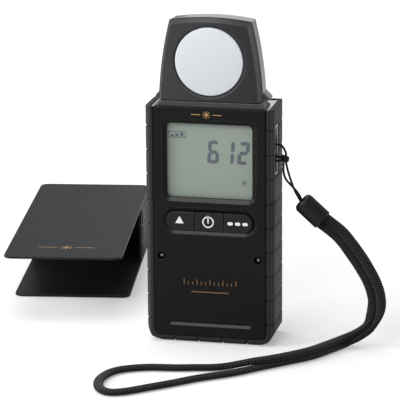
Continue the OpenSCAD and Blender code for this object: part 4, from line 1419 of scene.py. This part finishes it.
@dataclass
class Strap:
    """Wrist strap: thin cord hitched to the bar, ferrule and braided loop."""

    ferrule_top: Point = (41.1, -4.3, 68.7)
    ferrule_tilt: float = 132.0
    ferrule_length: float = 13.6
    ferrule_diameter: float = 9.7
    ferrule_mouth: float = 5.0
    ferrule_end: float = 8.6
    ferrule_dish: tuple[Spot, Spot] = ((0.9, 0.12), (0.5, 0.0))
    ferrule_sides: int = 48
    ferrule_smooth: float = 40.0
    cord_diameter: float = 1.1
    cord_length: float = 67.0
    cord_sides: int = 12
    cord_step: float = 0.2
    cord_apart: Spot = (0.6, 0.6)
    band_size: Spot = (4.6, 3.0)
    band_length: float = 425.0
    band_sides: int = 32
    band_step: float = 0.25
    band_apart: Spot = (2.15, 0.6)
    band_turn: Spot = (22.0, 9.0)
    knot_middle: Point = (33.6, -4.3, 88.0)
    knot_run: Point = (0.25, 0.0, 0.97)
    knot_radius: Spot = (1.55, 1.65)
    knot_tuck: float = 0.3
    knot_turns: float = 2.25
    knot_pitch: float = 1.02
    knot_points: int = 36
    knot_sides: int = 10
    knot_step: float = 0.25
    knot_lead: tuple[Point, ...] = ((28.6, -4.3, 86.7), (30.3, -4.3, 86.7))
    cord_route: tuple[Point, ...] = (
        (40.0, -4.9, 71.9), (38.0, -4.9, 74.3), (35.9, -4.9, 76.4), (34.1, -4.9, 78.6),
        (33.2, -4.9, 81.2), (33.0, -4.9, 84.0), (33.2, -4.9, 86.6), (34.2, -4.9, 89.4),
        (33.9, -4.9, 91.5), (32.4, -4.9, 93.9), (30.0, -4.9, 94.7), (28.4, -4.8, 94.0),
        (27.2, -4.6, 92.8), (27.05, -4.3, 91.0), (27.3, -4.0, 89.4), (28.6, -3.8, 88.6),
        (29.9, -3.7, 88.5), (32.0, -3.7, 88.4), (33.7, -3.7, 87.4), (34.2, -3.7, 85.0),
        (34.8, -3.7, 82.4), (35.8, -3.7, 79.1), (37.0, -3.7, 75.6), (37.9, -3.7, 73.4),
        (39.1, -3.7, 71.0),
    )
    band_route: tuple[Point, ...] = (
        (56.6, -4.9, 58.3), (60.55, -4.9, 55.2), (64.0, -4.9, 51.3), (67.2, -4.9, 47.1),
        (70.6, -4.9, 42.3), (73.6, -4.9, 37.3), (75.6, -4.9, 33.6), (77.2, -4.9, 29.9),
        (78.3, -4.9, 26.0), (78.8, -4.9, 21.6), (78.4, -4.9, 18.0), (77.4, -4.9, 14.9),
        (75.6, -4.9, 11.2), (73.25, -4.9, 8.05), (68.35, -5.0, 4.4), (61.7, -7.0, 1.45),
        (56.6, -16.0, 1.4), (50.3, -26.3, 1.4), (41.8, -34.9, 1.4), (30.2, -46.0, 1.4),
        (19.7, -56.3, 1.4), (6.2, -66.2, 1.4), (-3.1, -74.7, 1.4), (-11.9, -82.1, 1.4),
        (-22.1, -90.4, 1.4), (-29.2, -92.0, 1.4), (-34.4, -86.0, 1.4), (-36.3, -75.0, 1.4),
        (-32.4, -63.4, 1.4), (-21.2, -56.6, 1.4), (-6.5, -54.2, 1.4), (1.2, -52.4, 1.4),
        (9.2, -50.6, 1.4), (14.7, -48.6, 1.6), (21.3, -47.5, 2.9), (27.0, -46.4, 4.1),
        (34.0, -41.9, 4.3), (41.8, -34.9, 4.3), (50.0, -25.9, 4.3), (56.3, -15.6, 4.3),
        (61.4, -7.3, 4.55), (66.9, -5.0, 6.95), (71.15, -4.9, 10.15), (72.95, -4.6, 12.9),
        (73.85, -4.0, 16.3), (74.6, -3.7, 21.8), (74.1, -3.7, 25.2), (73.1, -3.7, 28.7),
        (71.8, -3.7, 31.8), (69.9, -3.7, 35.2), (67.0, -3.7, 39.9), (63.7, -3.7, 44.5),
        (60.8, -3.7, 48.5), (57.55, -3.7, 52.1), (53.8, -3.7, 55.1),
    )

    def build(self) -> None:
        """Makes cord, knot, ferrule and band."""
        ferrule = self._ferrule()
        knot = self._knot()
        self._cord()
        self._band()

    def _axis(self) -> tuple[Vector, Vector]:
        """Gives the ferrule's direction and the direction across it in the upright plane."""
        tilt = math.radians(self.ferrule_tilt)
        return Vector((math.sin(tilt), 0, math.cos(tilt))), Vector((-math.cos(tilt), 0, math.sin(tilt)))

    def _ferrule(self) -> bpy.types.Object:
        """Turns the barrel: a wide shoulder at the cord, a narrow one at the band, faintly dished ends.

        Returns:
            The barrel.
        """
        foot = [(r, self.ferrule_length - z) for r, z in reversed(self._shoulder(self.ferrule_end / 2))]
        profile = [*self._shoulder(self.ferrule_mouth / 2), *foot]
        piece = Bench.turned("strap_ferrule_dressed", profile, self.ferrule_sides)
        Bench.put(piece, self.ferrule_top, (0.0, self.ferrule_tilt, 0.0))
        Bench.smooth(piece, self.ferrule_smooth)
        return dress(piece, "meter_body", FINISHES[Slot.FERRULE], ["strap_ferrule"])

    def _shoulder(self, end: float) -> list[Spot]:
        """Rounds one end of the barrel off, from a flat of that radius to its full width.

        Args:
            end: Radius of the flat.

        Returns:
            Radius and height of each ring.
        """
        round_ = self.ferrule_diameter / 2 - end
        arc = [math.radians(10 * i) for i in range(10)]
        dish = [(end - inset, height) for inset, height in self.ferrule_dish]
        return dish + [(end + round_ * math.sin(a), round_ * (1 - math.cos(a))) for a in arc]

    def _knot(self) -> bpy.types.Object:
        """Leads the hitch out of the eye and winds it round the two strands.

        Returns:
            The knot.
        """
        run = Vector(self.knot_run).normalized()
        wide = Vector((self.knot_run[2], 0.0, -self.knot_run[0])).normalized()
        route = list(self.knot_lead)
        for i in range(self.knot_points + 1):
            share = i / self.knot_points
            angle = math.pi + math.tau * self.knot_turns * share
            tuck = self.knot_tuck if i == self.knot_points else 0.0
            across = (self.knot_radius[0] - tuck) * math.cos(angle) * wide
            deep = Vector((0.0, (self.knot_radius[1] - tuck) * math.sin(angle), 0.0))
            along = (share - 0.5) * self.knot_turns * self.knot_pitch * run
            route.append(tuple(Vector(self.knot_middle) + across + deep + along))
        size = (self.cord_diameter, self.cord_diameter)
        sweep = Sweep("strap_knot", route, size, self.knot_sides, self.knot_step)
        return dress(sweep.build(self._twist), "meter_body", CORD_TWIST)

    @staticmethod
    def _twist(turn: float, run: float) -> float:
        """Swells the thin cord into two twisted strands."""
        return 0.94 + 0.06 * math.cos(math.tau * (CORD_TWIST.strands * turn + run / CORD_TWIST.stitch))

    @staticmethod
    def _plait(turn: float, run: float) -> float:
        """Swells the band along three columns of stitches.

        Args:
            turn: Place round the band, in whole turns.
            run: Place along the band in millimetres.

        Returns:
            Factor of the radius.
        """
        across = math.cos(math.tau * turn)
        column = 0.5 + 0.5 * math.cos(math.tau * BAND_BRAID.columns * across)
        stitch = math.cos(math.tau * (run / BAND_BRAID.stitch - BAND_BRAID.slant * across))
        return 0.97 + 0.03 * column * (1 + 0.6 * stitch) + 0.01 * abs(across)

    def _broad(self, heading: Vector, here: Vector) -> Vector:
        """Turns the band's broad side to the front where it hangs and up where it lies.

        Args:
            heading: Direction of the band.
            here: Place on the band.

        Returns:
            Direction of its width.
        """
        high, low = self.band_turn
        lying = min(max((high - here.z) / (high - low), 0.0), 1.0)
        flat = Vector((0, 0, 1)).cross(heading).normalized()
        return (1 - lying) * heading.cross(Vector((0, 1, 0))) + lying * flat

    def _cord(self) -> None:
        """Sweeps the thin cord out of the ferrule, round the bar and back.
        """
        apart = self.cord_apart[0] * self._axis()[1] - Vector((0, self.cord_apart[1], 0))
        start, end = Vector(self.ferrule_top) + apart, Vector(self.ferrule_top) - apart
        route = [tuple(start), *self.cord_route, tuple(end)]
        size = (self.cord_diameter, self.cord_diameter)
        sweep = Sweep("strap_cord_dressed", route, size, self.cord_sides, self.cord_step)
        piece = dress(sweep.build(self._twist), "meter_body", CORD_TWIST, ["strap_cord"])
        log.info("%s measures %.1f mm", piece.name, sweep.length())
        sweep.points()

    def _band(self) -> None:
        """Sweeps the braided loop out of the ferrule, down to the table and back."""
        along, across = self._axis()
        bottom = Vector(self.ferrule_top) + self.ferrule_length * along
        apart = self.band_apart[0] * across - Vector((0, self.band_apart[1], 0))
        start, end = bottom + apart, bottom - apart
        route = [tuple(start), *self.band_route, tuple(end)]
        sweep = Sweep(
            "strap_band_dressed", route, self.band_size, self.band_sides, self.band_step, self._broad
        )
        piece = dress(sweep.build(self._plait), "meter_body", BAND_BRAID, ["strap_band"])
        log.info("%s measures %.1f mm", piece.name, sweep.length())
        sweep.points()


@dataclass
class Body:
    """Case halves, bumper, deck, screws and strap eye, with the gold marks of the face."""

    face_y: float = -13.5
    emblem_at: Spot = (-1.0, 109.0)
    emblem_sun: float = 3.6
    emblem_bar: Spot = (4.1, 0.35)
    emblem_far: float = 5.05
    scale_at: Spot = (0.2, 29.6)
    scale_width: float = 24.4
    scale_ticks: int = 13
    tick_width: float = 0.4
    tick_heights: Spot = (2.6, 1.5)
    line_at: Spot = (0.2, 24.9)
    line_size: Spot = (17.6, 0.5)
    line_corner: float = 0.2
    edges: dict[str, float] = field(default_factory=lambda: {
        "front_cover": 0.22, "rear_cover": 0.3, "side_bumper": 0.2, "top_deck": 0.2, "battery_cover": 0.2,
        "strap_eye": 0.15,
    })
    screw_edge: float = 0.08

    def build(self) -> None:
        """Softens the case and prints the face."""
        for node, width in self.edges.items():
            soften_node(node, width)
        soften_node("case_screws", self.screw_edge, finish=FACE_SCREW)
        emblem = Print().emblem(self.emblem_sun, self.emblem_bar, self.emblem_far)
        self._gild(emblem, "face_emblem", self.emblem_at, GOLD_INK)
        self._gild(self._scale(), "face_scale", self.scale_at, DIM_GOLD)
        line = Print().bar(self.line_size, corner=self.line_corner, steps=3)
        self._gild(line, "face_line", self.line_at, DIM_GOLD)

    def _scale(self) -> Print:
        """Draws the scale: every third tick is long, and all of them stand on one line.

        Returns:
            The print.
        """
        sheet = Print()
        high, low = self.tick_heights
        step = self.scale_width / (self.scale_ticks - 1)
        for i in range(self.scale_ticks):
            tall = low if i % 3 else high
            sheet.bar((self.tick_width, tall), (i * step - self.scale_width / 2, (tall - high) / 2))
        return sheet

    def _gild(self, mark: Print, name: str, at: Spot, ink: Ink) -> None:
        """Prints a mark of the face in gold."""
        dress(mark.stand(name, at, self.face_y), "meter_body", ink)


@dataclass
class Display:
    """Clear window, display and the figures on it."""

    pane_depth: float = 0.7
    pane_edge: float = 0.1
    ink_y: float = -10.1
    reading: str = "612"
    digit: Spot = (5.4, 10.9)
    stroke: float = 1.7
    upright_gap: float = 0.6
    level_gap: float = 1.85
    cut: float = 0.75
    pitch: float = 7.0
    first_at: Spot = (-1.55, 85.5)
    lean: float = 4.0
    flag_at: Spot = (-15.5, 98.5)
    flag_size: Spot = (8.4, 3.1)
    flag_line: float = 0.35
    flag_bars: tuple[float, ...] = (0.3, 0.45, 0.6)
    flag_bar_width: float = 1.5
    flag_bar_pitch: float = 2.2
    unit_at: Spot = (15.9, 76.9)
    unit_size: float = 3.4
    lit: dict[str, str] = field(default_factory=lambda: {"6": "acdefg", "1": "bc", "2": "abged"})

    def build(self) -> None:
        """Makes the pane and prints the display."""
        self._pane()
        self._ink(self._figures(), "display_figures", self.first_at, self.lean)
        self._ink(self._flag(), "display_flag", self.flag_at)
        self._ink(Print().sun(self.unit_size), "display_unit", self.unit_at)

    def _pane(self) -> None:
        """Cuts the clear window from a sheet with polished edges."""
        low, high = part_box("display_window")
        bpy.ops.object.select_all(action="DESELECT")
        bpy.ops.mesh.primitive_plane_add(size=1.0)
        piece = bpy.context.active_object
        piece.name = "display_window_dressed"
        with Bench.editing(piece):
            bpy.ops.transform.resize(value=(high.x - low.x, high.z - low.z, 1), center_override=(0, 0, 0))
            Bench.lift(self.pane_depth)
        Bench.close(piece)
        Bench.apply(piece, "BEVEL", width=self.pane_edge * MM, segments=2)
        middle = (low + high) / 2 / MM
        Bench.put(piece, (middle.x, low.y / MM + self.pane_depth, middle.z), (90.0, 0.0, 0.0))
        dress(piece, "meter_body", FINISHES[Slot.WINDOW], ["display_window"])

    def _figures(self) -> Print:
        """Draws the reading in bars, from the lower left corner of its first figure.

        Returns:
            The print.
        """
        sheet = Print()
        wide, tall = self.digit
        edge = self.stroke / 2
        spots = {
            "a": (wide / 2, tall - edge, 0), "g": (wide / 2, tall / 2, 0), "d": (wide / 2, edge, 0),
            "f": (edge, tall * 0.75, 90), "b": (wide - edge, tall * 0.75, 90),
            "e": (edge, tall * 0.25, 90), "c": (wide - edge, tall * 0.25, 90),
        }
        for place, figure in enumerate(self.reading):
            for bar in self.lit[figure]:
                x, y, turn = spots[bar]
                length = tall / 2 - self.upright_gap if turn else wide - self.level_gap
                sheet.bar((length, self.stroke), (place * self.pitch + x, y), turn, corner=edge * self.cut)
        return sheet

    def _flag(self) -> Print:
        """Draws the battery sign: a frame round bars of growing height.

        Returns:
            The print.
        """
        sheet = Print()
        wide, tall = self.flag_size
        line = self.flag_line
        for side in (-1, 1):
            sheet.bar((wide, line), (0.0, side * (tall - line) / 2))
            sheet.bar((line, tall), (side * (wide - line) / 2, 0.0))
        for i, share in enumerate(self.flag_bars):
            middle = ((i - 1) * self.flag_bar_pitch, tall * (share - self.flag_bars[-1]) / 2)
            sheet.bar((self.flag_bar_width, tall * share), middle)
        return sheet

    def _ink(self, mark: Print, name: str, at: Spot, lean: float = 0.0) -> None:
        """Prints a mark of the display."""
        dress(mark.stand(name, at, self.ink_y, lean), "meter_body", DISPLAY_INK)


@dataclass
class Keys:
    """Three keys with their signs."""

    face_y: float = -13.8
    arrow_at: Spot = (-13.9, 58.6)
    arrow_size: float = 4.6
    power_at: Spot = (-0.45, 58.6)
    power_size: float = 5.4
    power_stroke: float = 0.58
    power_bar: Spot = (0.6, 3.7)
    power_drop: float = 1.5
    power_corner: float = 0.25
    mode_at: Spot = (13.4, 58.4)
    dash: Spot = (2.5, 1.5)
    dash_pitch: float = 3.5
    dash_corner: float = 0.7
    edge: float = 0.3

    def build(self) -> None:
        """Softens the keys and prints their signs."""
        for node in ("key_up", "key_power", "key_mode"):
            soften_node(node, self.edge, 3)
        self._sign(Print().disc(self.arrow_size, sides=3), "sign_up", self.arrow_at, "up_key")
        power = Print().ring(self.power_size, self.power_stroke)
        top = (0.0, self.power_size / 2 - self.power_drop)
        power.bar(self.power_bar, top, corner=self.power_corner, steps=3)
        self._sign(power, "sign_power", self.power_at, "power_key")
        mode = Print()
        for i in (-1, 0, 1):
            mode.bar(self.dash, (i * self.dash_pitch, 0.0), corner=self.dash_corner, steps=5)
        self._sign(mode, "sign_mode", self.mode_at, "mode_key")

    def _sign(self, mark: Print, name: str, at: Spot, body: str) -> None:
        """Prints a sign on a key."""
        dress(mark.stand(name, at, self.face_y), body, KEY_INK)


@dataclass
class Head:
    """Swivelling sensor head with its diffuser, and the collar under it."""

    diffuser_z: float = 133.3
    diffuser_sides: int = 96
    flange_lip: float = 0.6
    flange_depth: float = 1.2
    flange_cut: float = 0.1
    crown: float = 0.15
    rim: float = 0.3
    pole: float = 0.05
    edges: dict[str, float] = field(default_factory=lambda: {
        "head_front": 0.35, "head_rear": 0.35, "head_screws": 0.08,
    })
    collar_edge: float = 0.7

    def build(self) -> None:
        """Softens the shells and turns the diffuser."""
        for node, width in self.edges.items():
            soften_node(node, width)
        soften_node("swivel_collar", self.collar_edge, 3, COLLAR_GREY)
        self._diffuser()

    def _diffuser(self) -> None:
        """Turns the flanged disc with a rounded rim and a slightly domed front."""
        low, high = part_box("diffuser")
        flange = (high.x - low.x) / 2 / MM
        depth = (high.y - low.y) / MM
        disc = flange - self.flange_lip
        inner = disc - self.rim
        front = depth - self.crown
        profile = [(flange - self.flange_cut, 0.0), (flange, self.flange_cut)]
        profile += [(flange, self.flange_depth), (disc, self.flange_depth)]
        for angle in (math.radians(15 * i) for i in range(7)):
            profile.append((inner + self.rim * math.cos(angle), front - self.rim * (1 - math.sin(angle))))
        for angle in (math.radians(9 * i) for i in range(1, 10)):
            profile.append((inner * math.cos(angle), front + self.crown * math.sin(angle)))
        profile.append((self.pole, depth))
        piece = Bench.turned("diffuser_dressed", profile, self.diffuser_sides)
        Bench.put(piece, (0.0, high.y / MM, self.diffuser_z), (90.0, 0.0, 0.0))
        Bench.smooth(piece)
        dress(piece, "sensor_head", FINISHES[Slot.DIFFUSER], ["diffuser"])


@dataclass
class Cap:
    """Slide-on cover lying beside the meter."""

    edge: float = 0.35
    spot: Point = (-87.0, 80.0, 30.2)
    turn: float = 8.0
    emblem_y: float = -52.0
    emblem_sun: float = 6.0
    emblem_bar: Spot = (9.0, 0.6)
    emblem_far: float = 9.0

    def build(self) -> None:
        """Softens the cover and prints its emblem near the open end."""
        soften_node("cap_shell", self.edge)
        piece = Print().emblem(self.emblem_sun, self.emblem_bar, self.emblem_far).lie("cap_emblem")
        Bench.put(piece, (0.0, self.emblem_y, 0.0))
        Bench.put(piece, self.spot, (0.0, 0.0, self.turn))
        dress(piece, "cap", GOLD_INK)


class Inside:
    """CAD nodes whose shape is right as it is: they only get their finish."""

    def build(self) -> None:
        """Paints each CAD node with the finish of its slot."""
        for name, node in frame["nodes"].items():
            finish = FINISHES[slot_of(name)]
            node.data.materials.clear()
            node.data.materials.append(finish.material())
            log.info("%s in %s", name, finish.name)


def main() -> None:
    """Builds the studio and the meter."""
    logging.basicConfig(level=logging.INFO, format="%(name)s: %(message)s")
    for part in (Studio(), Strap(), Inside(), Body(), Display(), Keys(), Head(), Cap()):
        part.build()


if __name__ == "__main__":
    main()
